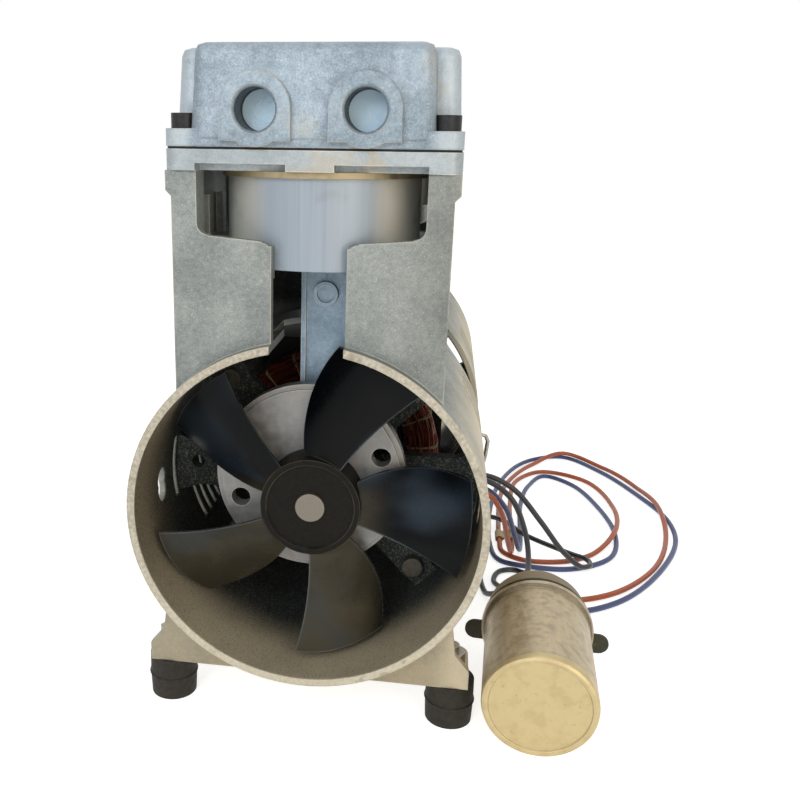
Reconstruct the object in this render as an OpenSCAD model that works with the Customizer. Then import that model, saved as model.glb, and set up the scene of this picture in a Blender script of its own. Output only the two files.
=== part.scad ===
// Twin rocking-piston vacuum pump with an open-frame motor and a loose run capacitor.
// Each end is built in its own frame: x to the right, y back from the rim of the
// shroud, z up from the crankshaft. The rear end is the front end turned half round.

/* [Shroud and motor frame] */
// Outer radius of the shroud barrel
shroud_r = 70; // [68:0.5:74]
// Wall of the barrel
shroud_wall = 3; // [2.5:0.25:4]
// Length of the machine from rim to rim
body_l = 291; // [288:1:300]
// Length of one end casting
casting_l = 134; // [130:1:136]
// Height of the crankshaft above the floor
shaft_h = 91.5; // [91:0.5:100]
// Width of the side vents
vent_w = 4; // [3:0.5:5]
// Number of vents on each side of a casting
vent_n = 4; // [3:1:4]

/* [Cylinder tower] */
// Setback of the tower's front plate from the rim
plate_s = 4.6; // [4:0.2:6]
// Thickness of the tower's plates
plate_t = 4; // [3:0.5:5]
// Depth of the tower from plate face to plate face
tower_d = 80; // [78:1:84]
// Half width of the tower
tower_hw = 50; // [48:0.5:52]
// Height of the tower's top face above the crankshaft
tower_top = 129.7; // [128:0.5:134]
// Half width of the slot in the front plate
slot_hw = 13.6; // [12:0.5:16]
// Half width of the window above the slot
window_hw = 40.7; // [39:0.5:42]

/* [Cylinder and head] */
// Outer radius of the cylinder sleeve
sleeve_r = 37.4; // [36.5:0.1:38]
// Wall of the sleeve
sleeve_wall = 2.6; // [2:0.2:3]
// Height of the sleeve
sleeve_h = 34.7; // [32:0.1:36]
// Thickness of the valve plate
valve_plate_t = 7.3; // [6:0.1:9]
// Thickness of the head gasket
gasket_t = 0.8; // [0.5:0.1:1.5]
// Height of the head
head_h = 34.2; // [32:0.5:38]
// Radius of the port bores
port_r = 7.2; // [6:0.1:8]
// Distance of a port from the middle
port_x = 18.9; // [17:0.1:21]
// Radius of a head screw's cap
head_screw_cap_r = 4.75; // [4.25:0.25:5]

/* [Crank and fan] */
// Radius of the crankshaft where it carries the fan
shaft_r = 5.9; // [5.5:0.1:6.3]
// Throw of the crank pins
throw = 4.5; // [4:0.1:4.8]
// Crank angle at rest, front pin
crank_angle = -70; // [-90:5:-60]
// Radius of the counterweight disc
weight_r = 39.5; // [37:0.1:41]
// Thickness of the counterweight disc
weight_t = 7; // [6:0.5:7.5]
// Offset of the disc away from the crank pin
weight_offset = 7.2; // [6:0.1:8]
// Tip radius of the fan
fan_r = 64; // [60:0.5:65]
// Radius of the fan hub
fan_hub_r = 20.1; // [19:0.1:21]
// Number of fan blades
fan_n = 5; // [4:1:6]
// Thickness of a fan blade
blade_t = 1.6; // [1.4:0.1:2]

/* [Feet] */
// Distance of a foot from the middle
foot_x = 59.5; // [58:0.5:61]
// Setback of a foot from the rim
foot_s = 21.5; // [20:0.5:24]
// Radius of a foot
foot_r = 10; // [9:0.25:11]
// Height of a foot
foot_h = 18.8; // [18:0.2:19]

/* [Capacitor] */
// Radius of the can
can_r = 22.5; // [21:0.5:24]
// Length of the can
can_l = 58.7; // [55:0.1:65]
// Radius of the rolled rim
can_rim_r = 24.2; // [24:0.1:25]
// Length of the cover over the terminals
cover_l = 20; // [16:1:26]

/* [Leads] */
// Diameter of a lead
lead_d = 3; // [2.6:0.1:3.2]

/* [Hidden] */

eps = 0.01;
$fn = 64;
// Radial gap between two curved faces that lie against each other
seat_gap = 0.3;
// Radial gap of a shaft that turns in its bore
running_gap = 0.03;
// Gap between flat faces of parts that move past each other
side_gap = 0.5;

shroud_in_r = shroud_r - shroud_wall;
tower_back = plate_s + tower_d;
sleeve_s = plate_s + tower_d / 2;
sleeve_bore_r = sleeve_r - sleeve_wall;
sleeve_bottom = tower_top - sleeve_h;
// The deck holds the sleeve in a counterbore, on a lip
deck_top = sleeve_bottom + 9;
lip_t = 3;
lip_r = sleeve_r - 1.6;

// Tower head flange, wider than the plates below it
flange_hw = tower_hw + 2;
flange_h = 7;
corner_w = tower_hw - window_hw;
corner_d = 10.5;
window_sill = tower_top - 22.2;
window_step = tower_top - 24.4;
screw_x = 46;
screw_inset = 6;
screw_r = 3;
screw_clear = 0.3;
screw_depth = 16;

// Head
plate_top = tower_top + valve_plate_t;
gasket_top = plate_top + gasket_t;
head_flange_h = 6;
head_flange_top = gasket_top + head_flange_h;
head_top = gasket_top + head_h;
port_z = gasket_top + 12.5;
port_depth = 14;
port_end = plate_s - 4.2 + port_depth;
port_mouth_r = port_r + 1;
port_boss_r = port_r + 5.3;
chamber_top = head_top - 5;

// Crank
pin_r = 12.5;
rod_bearing_r = 21;
rod_bearing_w = 9;
rod_boss_r = 25;
rod_s = sleeve_s;
weight_s = rod_s - rod_bearing_w / 2 - side_gap - weight_t;
journal_r = 7.5;
main_bearing_r = 17.5;
main_bearing_w = 11;
main_bearing_s = 56.5;
bearing_boss_r = 23;
web_s = main_bearing_s + 2;
web_t = 6;
web_bar_hh = 10;
fan_front_s = 16.6;
fan_hub_l = weight_s - fan_front_s - 1;
shaft_front_s = 16.5;

// Piston
bore_play = 0.5;
piston_r = sleeve_bore_r - throw - bore_play - 0.4;
pin_rest_z = throw * sin(crank_angle);
top_clear = 1;
piston_top = tower_top - top_clear - (throw - pin_rest_z);
cup_t = 1.5;
retainer_t = 2.5;
piston_t = 5;
cup_z = piston_top - retainer_t - cup_t;

// Motor
bolt_xz = 41;
bolt_r = 2.5;
lug_r = 7.5;
core_l = 84;
core_s = (body_l - core_l) / 2;
core_hw = 50.5;
core_corner_r = shroud_in_r - seat_gap;
rotor_r = 32;
air_gap = 0.5;
stator_bore_r = rotor_r + air_gap;
slot_n = 24;
winding_turns = 3;
winding_layers = 4;
winding_tube = 3.6;
winding_pitch = 4.1;
winding_in_r = 35.6;

foot_top = foot_h - shaft_h;
base_t = 6;
base_s = 12.5;
base_hw = 66.5;

// Where the capacitor lies
cap_x = 93.5;
cap_y = -146.2;
cap_turn = -3.8;
cap_tilt = asin((can_rim_r - can_r) / can_l);

// Places an end's parts: end 0 is the front, end 1 the rear
module at_end(end)
    translate([0, 0, shaft_h])
        rotate([0, 0, 180 * end])
            translate([0, -body_l / 2, 0])
                children();

// Cylinder along y from s to s + l
module rod_y(r, s, l, x = 0, z = 0)
    translate([x, s, z])
        rotate([-90, 0, 0])
            cylinder(r = r, h = l);

// Rounded rectangle, drawn on x and y
module round_rect(hx, y0, y1, r)
    union() {
        translate([-hx + r, y0]) square([2 * hx - 2 * r, y1 - y0]);
        translate([-hx, y0 + r]) square([2 * hx, y1 - y0 - 2 * r]);
        for (x = [-hx + r, hx - r], y = [y0 + r, y1 - r])
            translate([x, y]) circle(r);
    }

module at_screws()
    for (x = [-screw_x, screw_x], y = [plate_s + screw_inset, tower_back - screw_inset])
        translate([x, y, 0])
            children();

// Crank pin of the front end is at crank_angle; the rear one is opposite
function pin_angle(end) = end == 0 ? crank_angle : -crank_angle;
function pin_x(end) = throw * cos(pin_angle(end));
function pin_z(end) = end == 0 ? pin_rest_z : -pin_rest_z;
module at_pin(end)
    translate([pin_x(end), 0, pin_z(end)])
        children();

// Outline of the tower's plates on x and z, with the window and the slot
module tower_outline()
    polygon([[-tower_hw, 0], [tower_hw, 0], [tower_hw, tower_top - flange_h - 2],
        [flange_hw, tower_top - flange_h], [flange_hw, tower_top],
        [-flange_hw, tower_top], [-flange_hw, tower_top - flange_h],
        [-tower_hw, tower_top - flange_h - 2]]);

// The sill steps down to the slot with rounded corners
module window_outline() {
    fillet = 4;
    difference() {
        union() {
            polygon([[-window_hw, tower_top + 1], [-window_hw, window_sill],
                [-slot_hw, window_step], [-slot_hw, 0], [slot_hw, 0],
                [slot_hw, window_step], [window_hw, window_sill],
                [window_hw, tower_top + 1]]);
            for (m = [-1, 1])
                translate([m * (slot_hw + fillet), window_step - fillet])
                    difference() {
                        translate([m > 0 ? -fillet - eps : 0, 0])
                            square([fillet + eps, fillet + 1]);
                        circle(fillet);
                    }
        }
        for (m = [-1, 1])
            translate([m * (window_hw - fillet), window_sill + fillet])
                difference() {
                    translate([m > 0 ? 0 : -fillet - eps, -fillet - 1])
                        square([fillet + eps, fillet + 1]);
                    circle(fillet);
                }
    }
}

module plate_xz(s, t)
    translate([0, s + t, 0])
        rotate([90, 0, 0])
            linear_extrude(t)
                children();

// Tower: front and rear plates, side walls, corner columns and the sleeve's deck
module tower() {
    difference() {
        union() {
            plate_xz(plate_s, plate_t)
                difference() {
                    tower_outline();
                    window_outline();
                }
            plate_xz(tower_back - plate_t, plate_t)
                difference() {
                    tower_outline();
                    window_outline();
                }
            plate_xz(plate_s, tower_d)
                difference() {
                    tower_outline();
                    translate([plate_t - tower_hw, -1])
                        square([2 * (tower_hw - plate_t), tower_top + 2]);
                }
            for (x = [-tower_hw, window_hw], y = [plate_s, tower_back - corner_d])
                translate([x, y, window_sill])
                    cube([corner_w, corner_d, tower_top - window_sill]);
            for (m = [-1, 1], y = [sleeve_s - 13, sleeve_s + 9])
                translate([m > 0 ? tower_hw - plate_t - 3 : plate_t - tower_hw - eps, y, 70])
                    cube([3 + eps, 4, 50]);
            translate([-tower_hw, plate_s, sleeve_bottom - lip_t])
                cube([2 * tower_hw, tower_d, deck_top - sleeve_bottom + lip_t]);
        }
        translate([0, sleeve_s, sleeve_bottom])
            cylinder(r = sleeve_r + seat_gap, h = sleeve_h + 1);
        translate([0, sleeve_s, 0])
            cylinder(r = lip_r, h = tower_top);
        for (y = [plate_s - 1, sleeve_s])
            translate([-slot_hw, y, 0])
                cube([2 * slot_hw, tower_d / 2 + 1, tower_top]);
        at_screws()
            translate([0, 0, tower_top - screw_depth])
                cylinder(r = screw_r + screw_clear, h = screw_depth + 1);
    }
}

// Rounded foot pad with the stud's hole
module base_pad()
    translate([0, 0, foot_top])
        difference() {
            linear_extrude(base_t)
                round_rect(base_hw, base_s, base_s + 24, 6);
            for (x = [-foot_x, foot_x])
                translate([x, foot_s, -1])
                    cylinder(r = 3.3, h = base_t + 2);
            translate([-44, 0, -1])
                cube([88, base_s + 40, base_t + 2]);
        }

// Web between the barrel and the pads
module base_web() {
    web_top = -38;
    shoulder = foot_top + 8;
    difference() {
        plate_xz(base_s, shroud_wall)
            polygon([[-base_hw, foot_top], [-base_hw, shoulder], [-60.5, -57.5],
                [-58, web_top], [58, web_top], [60.5, -57.5], [base_hw, shoulder],
                [base_hw, foot_top]]);
        rod_y(shroud_r - 1, 0, 40);
    }
}

// Gussets join the pads to the barrel
module base_gussets()
    difference() {
        for (m = [-1, 1])
            translate([m > 0 ? 45 : -50, base_s + 1, foot_top + 1])
                cube([5, 20, 27]);
        rod_y(shroud_r - 1, 0, casting_l);
    }

// Inner web: arms from the barrel to the bearing boss, and the bolt lugs
bolt_places = [for (x = [-bolt_xz, bolt_xz], z = [-bolt_xz, bolt_xz]) [x, z]];
module in_barrel()
    intersection() {
        circle(shroud_in_r + 1);
        union() children();
    }
module web_outline()
    in_barrel() {
        for (p = bolt_places)
            rotate(atan2(p[1], p[0]))
                translate([0, -6.5]) square([80, 13]);
        for (m = [0, 180])
            rotate(m)
                polygon([[0, -web_bar_hh], [57, -web_bar_hh], [70, -web_bar_hh - 5],
                    [70, web_bar_hh + 5], [57, web_bar_hh], [0, web_bar_hh]]);
    }
module lug_outline()
    in_barrel()
        for (p = bolt_places) {
            translate(p) circle(lug_r);
            rotate(atan2(p[1], p[0]))
                translate([norm(p), -3]) square([30, 6]);
        }

module inner_web()
    difference() {
        union() {
            rod_y(bearing_boss_r, main_bearing_s - 1.5, main_bearing_w + 3);
            plate_xz(web_s, web_t) web_outline();
            plate_xz(web_s + 1, core_s - web_s - 1) lug_outline();
        }
        for (p = bolt_places)
            rod_y(bolt_r + seat_gap, 0, casting_l, p[0], p[1]);
        for (x = [-57, 57])
            rod_y(3, 0, casting_l, x, 1);
        rod_y(main_bearing_r + running_gap, main_bearing_s, main_bearing_w + 3);
        rod_y(journal_r + 2.5, 0, casting_l);
    }

module barrel_cuts() {
    vent_pitch = 8.6;
    first_vent_s = 76.6;
    for (m = [-1, 1]) {
        for (i = [0 : vent_n - 1])
            translate([m > 0 ? 50 : -50 - 30, first_vent_s + i * vent_pitch - vent_w / 2, -33])
                cube([30, vent_w, 71]);
        translate([m > 0 ? 60 : -60 - 20, 51.5, -14])
            cube([20, 4.5, 28]);
        // Oval tool hole, as wide as two overlapping drillings
        for (z = [-4.5, 0.5])
            translate([m * 60 - (m > 0 ? 0 : 20), 35.5, z])
                rotate([0, 90, 0])
                    cylinder(r = 5, h = 20);
    }
    translate([-slot_hw, -1, 0])
        cube([2 * slot_hw, sleeve_s + 12, 100]);
    translate([-18, sleeve_s - 12, 0])
        cube([36, 24, 100]);
    edge_notch();
}

// On one side the barrel's back edge is cut away beside the motor, with round corners
notch_s = 110.5;
notch_bottom = -4;
notch_top = 48.5;
notch_corner = 9;
module edge_notch()
    translate([30, 0, 0])
        rotate([90, 0, 90])
            linear_extrude(50)
                union() {
                    translate([notch_s + notch_corner, notch_bottom])
                        square([casting_l - notch_s, notch_top - notch_bottom]);
                    translate([notch_s, notch_bottom + notch_corner])
                        square([casting_l - notch_s, notch_top - notch_bottom - 2 * notch_corner]);
                    for (z = [notch_bottom + notch_corner, notch_top - notch_corner])
                        translate([notch_s + notch_corner, z])
                            circle(notch_corner);
                }

module housing(end)
    color("lightslategray")
        at_end(end)
            union() {
                difference() {
                    union() {
                        rod_y(shroud_r, 0, casting_l);
                        tower();
                    }
                    rod_y(shroud_in_r, -1, casting_l + 2);
                    barrel_cuts();
                }
                base_web();
                base_pad();
                base_gussets();
                inner_web();
            }

module sleeve(end)
    color("silver")
        at_end(end)
            translate([0, sleeve_s, sleeve_bottom])
                difference() {
                    cylinder(r = sleeve_r, h = sleeve_h, $fn = 96);
                    translate([0, 0, -1])
                        cylinder(r = sleeve_bore_r, h = sleeve_h + 2, $fn = 96);
                }

// Ring that seals the sleeve's top under the valve plate
module sleeve_seal(end)
    color("goldenrod")
        at_end(end)
            translate([0, sleeve_s, tower_top - 2.2])
                difference() {
                    cylinder(r = sleeve_r + 2.2, h = 2.2);
                    translate([0, 0, -1])
                        cylinder(r = sleeve_r + 0.1, h = 4);
                }

// Valve plate: thick corners, thin middle, a tab in front and pockets for the reeds
reed_l = 26;
reed_w = 10;
reed_t = 0.4;
reed_x = 14;
pocket_gap = 0.8;
pocket_depth = 3.2;
module reed_pocket()
    translate([-reed_w / 2 - pocket_gap, -reed_l / 2 - pocket_gap, 0])
        cube([reed_w + 2 * pocket_gap, reed_l + 2 * pocket_gap, pocket_depth]);

module valve_plate(end)
    color("lightsteelblue")
        at_end(end)
            difference() {
                translate([0, 0, tower_top])
                    linear_extrude(valve_plate_t)
                        round_rect(flange_hw, plate_s - 1.5, tower_back + 1.5, 5);
                for (y = [plate_s - 2.5, tower_back - 6])
                    difference() {
                        translate([-window_hw, y, tower_top - 1])
                            cube([2 * window_hw, 8.5, 3.5]);
                        translate([-8.5, y - 1, tower_top - 2])
                            cube([17, 11, 6]);
                    }
                at_screws()
                    translate([0, 0, tower_top - 1])
                        cylinder(r = screw_r + screw_clear, h = valve_plate_t + 2);
                translate([reed_x, sleeve_s, tower_top - eps])
                    reed_pocket();
                translate([-reed_x, sleeve_s, plate_top - pocket_depth + eps])
                    reed_pocket();
                for (m = [-1, 1], x = [-2.5, 2.5])
                    translate([m * reed_x + x, sleeve_s + 7, tower_top - 1])
                        cylinder(r = 2, h = valve_plate_t + 2);
            }

// A reed is a leaf with a round hole over its fixed end
module reed_leaf()
    difference() {
        translate([-reed_w / 2, -reed_l / 2, 0])
            cube([reed_w, reed_l, reed_t]);
        translate([0, -reed_l / 2 + 4, -1])
            cylinder(r = 1.6, h = 2);
    }

module intake_reed(end)
    color("gainsboro")
        at_end(end)
            translate([reed_x, sleeve_s, tower_top + pocket_depth - reed_t - 0.1])
                reed_leaf();

module exhaust_reed(end)
    color("gainsboro")
        at_end(end)
            translate([-reed_x, sleeve_s, plate_top - pocket_depth + 0.1])
                reed_leaf();

module head_gasket(end)
    color("dimgray")
        at_end(end)
            difference() {
                translate([0, 0, plate_top])
                    linear_extrude(gasket_t)
                        round_rect(flange_hw - 0.5, plate_s - 1, tower_back + 1, 4.5);
                head_chambers();
                at_screws()
                    translate([0, 0, plate_top - 1])
                        cylinder(r = screw_r + screw_clear, h = 3);
            }

// Intake and exhaust chambers, with a wall between them, from the plate up to a height
chamber_inset = 7;
baffle_t = 2;
chamber_hw = 34;
chamber_wall = 5;
module head_chambers(front = chamber_inset, top = port_z - port_r - 1.3)
    for (x = [-chamber_hw, chamber_wall / 2])
        translate([x, plate_s + front, plate_top - 1])
            cube([chamber_hw - chamber_wall / 2, tower_d - chamber_inset - front, top - plate_top + 1]);

// Each port ends in front of a baffle, and air goes on to its chamber below the baffle
module port_pocket(x)
    translate([x - port_r - 1.3, plate_s + chamber_inset, gasket_top])
        cube([2 * port_r + 2.6, port_end - plate_s - chamber_inset,
            port_z + port_r + 1.3 - gasket_top]);

// One drafted block of the head, from z0 to z1, with a rounded top edge
module head_block(hx, y0, y1, z0, z1) {
    draft = 1.6;
    edge = 3;
    hull() {
        translate([0, 0, z0])
            linear_extrude(0.1)
                round_rect(hx, y0, y1, 5, $fn = 32);
        translate([0, 0, z1 - edge])
            linear_extrude(0.1)
                round_rect(hx - draft, y0 + draft, y1 - draft, 5, $fn = 32);
        translate([0, 0, z1 - edge * 0.3])
            linear_extrude(0.1)
                round_rect(hx - draft - edge * 0.3, y0 + draft + edge * 0.3,
                    y1 - draft - edge * 0.3, 4.4, $fn = 32);
        translate([0, 0, z1 - 0.1])
            linear_extrude(0.1)
                round_rect(hx - draft - edge, y0 + draft + edge, y1 - draft - edge, 3, $fn = 32);
    }
}

module head(end)
    color("lightsteelblue")
        at_end(end)
            difference() {
                union() {
                    translate([0, 0, gasket_top])
                        linear_extrude(head_flange_h)
                            round_rect(flange_hw, plate_s - 1.5, tower_back + 1.5, 5);
                    head_block(window_hw + 2, plate_s - 2, tower_back + 2, head_flange_top - 3, head_top);
                    head_block(flange_hw - 1, plate_s + 10.5, tower_back - 10.5,
                        head_flange_top - 3, head_top - 0.6);
                    // Port bosses stand out of the front face and run down to the flange
                    for (m = [-1, 1]) {
                        rod_y(port_boss_r, plate_s - 4.2, 10, m * port_x, port_z);
                        translate([m * port_x - port_boss_r, plate_s - 4.2, head_flange_top - 4])
                            cube([2 * port_boss_r, 10, port_z - head_flange_top + 4]);
                    }
                }
                for (m = [-1, 1]) {
                    rod_y(port_r, plate_s - 6, chamber_inset + 6 + eps, m * port_x, port_z);
                    port_pocket(m * port_x);
                    translate([m * port_x, plate_s - 4.2 - eps, port_z])
                        rotate([-90, 0, 0])
                            cylinder(r1 = port_mouth_r, r2 = port_r - eps, h = 1);
                }
                head_chambers();
                head_chambers(port_end + baffle_t - plate_s, chamber_top);
                at_screws() {
                    translate([0, 0, gasket_top - 1])
                        cylinder(r = screw_r + screw_clear, h = head_h);
                    translate([0, 0, head_flange_top])
                        cylinder(r = head_screw_cap_r + 0.6, h = head_h);
                }
            }

// Socket cap screw, head up, with its seat at z = 0
module cap_screw(r, cap_r, l) {
    cap_h = cap_r * 1.1;
    difference() {
        union() {
            translate([0, 0, -l])
                cylinder(r = r, h = l + eps);
            cylinder(r = cap_r, h = cap_h);
        }
        translate([0, 0, cap_h * 0.45])
            cylinder(r = cap_r * 0.55, h = cap_h, $fn = 6);
    }
}

module head_screws(end)
    color("black")
        at_end(end)
            at_screws()
                translate([0, 0, head_flange_top])
                    cap_screw(screw_r, head_screw_cap_r, head_flange_top - tower_top + screw_depth - 2);

// Outline of a blade that points along x: two arcs and the tip circle
module blade_outline()
    difference() {
        intersection() {
            circle(fan_r, $fn = 128);
            translate([48.2, -30.5]) circle(53.7, $fn = 128);
            translate([fan_hub_r - 4, -30]) square([fan_r, 60]);
        }
        translate([7.5, -139.4]) circle(137.1, $fn = 256);
    }

// The blade is part of a tube that lies along it, cut to the outline. The tube's
// axis is a long way behind and to one side, which gives the blade its pitch.
camber_r = 50;
camber_side = -13.1;
camber_s = fan_front_s + 51;
blade_rake = 2;
module fan_blade()
    intersection() {
        plate_xz(0, 40)
            blade_outline();
        translate([0, camber_s, camber_side])
            rotate([0, 0, -blade_rake])
                rotate([0, 90, 0])
                    difference() {
                        cylinder(r = camber_r + blade_t / 2, h = fan_r + 5, $fn = 192);
                        translate([0, 0, -1])
                            cylinder(r = camber_r - blade_t / 2, h = fan_r + 7, $fn = 192);
                    }
    }

fan_turn = 62;
module fan(end)
    color("#202428")
        at_end(end)
            difference() {
                union() {
                    difference() {
                        rod_y(fan_hub_r, fan_front_s, fan_hub_l);
                        rod_y(fan_hub_r - 2.4, fan_front_s - 1, 2);
                        rod_y(fan_hub_r - 2.4, fan_front_s + 6, fan_hub_l);
                    }
                    rod_y(shaft_r + 3.2, fan_front_s + 2, fan_hub_l - 2);
                    difference() {
                        for (i = [0 : fan_n - 1])
                            rotate([0, -fan_turn - i * 360 / fan_n, 0])
                                fan_blade();
                        rod_y(fan_hub_r - 1, 0, 60);
                    }
                }
                rod_y(shaft_r + running_gap, 0, 60);
            }

// Counterweight disc with the crank pin behind it
module counterweight(end)
    color("darkgray")
        at_end(end) {
            a = pin_angle(end) + 180;
            difference() {
                union() {
                    rod_y(weight_r, weight_s, weight_t, weight_offset * cos(a), weight_offset * sin(a));
                    at_pin(end)
                        rod_y(pin_r, weight_s + weight_t - eps, rod_bearing_w + side_gap + 1.2);
                }
                rod_y(shaft_r + running_gap, 0, 80);
                for (h = [20, 200])
                    rod_y(4, 0, 80, weight_offset * cos(a) + 31 * cos(h),
                        weight_offset * sin(a) + 31 * sin(h));
                translate([weight_offset * cos(a), weight_s - eps, weight_offset * sin(a)])
                    rotate([-90, 0, 0])
                        difference() {
                            cylinder(r = weight_r + 1, h = 1.2);
                            translate([0, 0, -1])
                                cylinder(r = weight_r - 2, h = 4);
                        }
            }
        }

// Rod and piston are one casting: big end, flanged shank and round piston
module connecting_rod(end) {
    shank_w = 19.4;
    shank_t = 8;
    rib = 2;
    color("lightsteelblue")
        at_end(end) {
            piston_z = cup_z - piston_t + pin_z(end) - pin_rest_z;
            difference() {
                union() {
                    at_pin(end)
                        rod_y(rod_boss_r, rod_s - rod_bearing_w / 2, rod_bearing_w);
                    translate([pin_x(end) - shank_w / 2, rod_s - shank_t / 2, pin_z(end)])
                        difference() {
                            cube([shank_w, shank_t, piston_z - pin_z(end) + 1]);
                            for (y = [-1, shank_t - 2])
                                translate([rib, y, rod_boss_r + 3])
                                    cube([shank_w - 2 * rib, 3, piston_z - pin_z(end) - rod_boss_r - 3]);
                        }
                    rod_y(5, rod_s - shank_t / 2, shank_t, pin_x(end), pin_z(end) + 86);
                    translate([pin_x(end), rod_s, piston_z])
                        cylinder(r = piston_r - 1.5, h = piston_t);
                }
                at_pin(end)
                    rod_y(rod_bearing_r + running_gap, 0, 80);
                for (y = [rod_s - shank_t / 2 - 1, rod_s + shank_t / 2 - 1.5])
                    rod_y(3.4, y, 2.5, pin_x(end), pin_z(end) + 86);
                translate([pin_x(end), rod_s, piston_z - 1])
                    cylinder(r = 2.3, h = 20);
            }
        }
}

// Ball bearing: two races and a ring of balls
module ball_bearing(r_in, r_out, s, w, balls) {
    race = (r_out - r_in) * 0.27;
    mid = (r_in + r_out) / 2;
    difference() {
        rod_y(r_out, s, w);
        rod_y(r_out - race, s - 1, w + 2);
    }
    difference() {
        rod_y(r_in + race, s, w);
        rod_y(r_in, s - 1, w + 2);
    }
    for (i = [0 : balls - 1])
        rotate([0, i * 360 / balls, 0])
            translate([mid, s + w / 2, 0])
                sphere(r = mid - r_in - race - 0.02, $fn = 24);
}

module rod_bearing(end)
    color("silver")
        at_end(end)
            at_pin(end)
                ball_bearing(pin_r + running_gap, rod_bearing_r, rod_s - rod_bearing_w / 2,
                    rod_bearing_w, 12);

module main_bearing(end)
    color("silver")
        at_end(end)
            ball_bearing(journal_r + running_gap, main_bearing_r, main_bearing_s,
                main_bearing_w, 8);

// Seal cup, with its lip turned up
module piston_cup(end)
    color("saddlebrown")
        at_end(end)
            translate([pin_x(end), rod_s, cup_z + pin_z(end) - pin_rest_z])
                difference() {
                    cylinder(r = piston_r, h = cup_t + 1.8);
                    translate([0, 0, cup_t])
                        cylinder(r = piston_r - 1.2, h = 3);
                    translate([0, 0, -1])
                        cylinder(r = 2.6, h = 6);
                }

module cup_retainer(end)
    color("silver")
        at_end(end)
            translate([pin_x(end), rod_s, cup_z + cup_t + pin_z(end) - pin_rest_z])
                difference() {
                    cylinder(r = piston_r - 3, h = retainer_t);
                    translate([0, 0, -1])
                        cylinder(r = 2.6, h = 6);
                    translate([0, 0, retainer_t - 2])
                        cylinder(r1 = 2.6, r2 = 5.2, h = 2 + eps);
                }

module retainer_screw(end)
    color("dimgray")
        at_end(end)
            translate([pin_x(end), rod_s, cup_z + cup_t + pin_z(end) - pin_rest_z])
                difference() {
                    union() {
                        translate([0, 0, -7])
                            cylinder(r = 2, h = 7 + retainer_t - 1);
                        translate([0, 0, retainer_t - 1.9])
                            cylinder(r1 = 2.2, r2 = 4.6, h = 1.8);
                    }
                    translate([0, 0, retainer_t - 1.2])
                        cylinder(r = 1.5, h = 3, $fn = 6);
                }

module crankshaft()
    color("gainsboro")
        translate([0, 0, shaft_h]) {
            l = body_l - 2 * shaft_front_s;
            journal_l = body_l - 2 * (main_bearing_s - 1);
            core_shaft_l = body_l - 2 * (main_bearing_s + main_bearing_w + 1);
            rod_y(shaft_r, -l / 2, l);
            rod_y(journal_r, -journal_l / 2, journal_l);
            rod_y(journal_r + 1.5, -core_shaft_l / 2, core_shaft_l);
        }

module rotor_core()
    color("slategray")
        translate([0, 0, shaft_h])
            difference() {
                rod_y(rotor_r, -core_l / 2, core_l);
                rod_y(journal_r + 1.5 + running_gap, -core_l, 2 * core_l);
            }

// Cast end rings with short cooling blades
ring_l = 7;
ring_fin_l = 6;
module rotor_end_rings()
    color("silver")
        translate([0, 0, shaft_h])
            for (m = [0, 180])
                rotate([0, 0, m]) {
                    difference() {
                        rod_y(rotor_r - 1, core_l / 2, ring_l);
                        rod_y(rotor_r - 12, 0, core_l);
                    }
                    for (a = [0 : 45 : 315])
                        rotate([0, a, 0])
                            translate([rotor_r - 9, core_l / 2 + ring_l - eps, -1.25])
                                cube([7, ring_fin_l, 2.5]);
                }

// Laminated stator: a square with round corners, wire slots round the bore
module stator_core()
    color("gray")
        translate([0, 0, shaft_h])
            plate_xz(-core_l / 2, core_l)
                difference() {
                    intersection() {
                        square(2 * core_hw, center = true);
                        circle(core_corner_r - shroud_wall, $fn = 96);
                    }
                    circle(stator_bore_r, $fn = 96);
                    for (i = [0 : slot_n - 1])
                        rotate(i * 360 / slot_n + 7.5) {
                            translate([stator_bore_r - 1, -0.9])
                                square([4, 1.8]);
                            translate([stator_bore_r + 2, -2.2])
                                square([11, 4.4]);
                        }
                    for (p = bolt_places)
                        translate(p)
                            circle(bolt_r + seat_gap);
                }

// Swept tube through points, with flat ends
function unit(v) = v / norm(v);
function tangent(p, i) =
    i == 0 ? unit(p[1] - p[0])
    : i == len(p) - 1 ? unit(p[i] - p[i - 1])
    : unit(unit(p[i + 1] - p[i]) + unit(p[i] - p[i - 1]));
function side_step(t, v) = unit(v - t * (t * v));
// Each ring's side vector is carried along from the ring before it
function sides(p, i = 0, v = [0.1, 0.2, 1], out = []) =
    i == len(p) ? out
    : let (s = side_step(tangent(p, i), v)) sides(p, i + 1, s, concat(out, [s]));
module tube(p, r, n) {
    u = sides(p);
    pts = [for (i = [0 : len(p) - 1])
        let (w = cross(tangent(p, i), u[i]))
            for (k = [0 : n - 1])
                p[i] + r * (cos(360 * k / n) * u[i] + sin(360 * k / n) * w)];
    walls = [for (i = [0 : len(p) - 2], k = [0 : n - 1])
        let (a = i * n + k, b = i * n + (k + 1) % n)
            each [[a, b, b + n], [a, b + n, a + n]]];
    caps = [[for (k = [0 : n - 1]) n - 1 - k], [for (k = [0 : n - 1]) (len(p) - 1) * n + k]];
    faces = concat(walls, caps);
    polyhedron(points = pts, faces = [for (f = faces) [for (k = [len(f) - 1 : -1 : 0]) f[k]]]);
}

// The winding spirals out and in again, a layer further back each time it reverses
loop_steps = 24;
function winding_r(t) =
    let (layer = floor(t / winding_turns), f = (t - layer * winding_turns) / winding_turns)
        winding_in_r + winding_turns * winding_pitch * (layer % 2 == 0 ? f : 1 - f);
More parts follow.
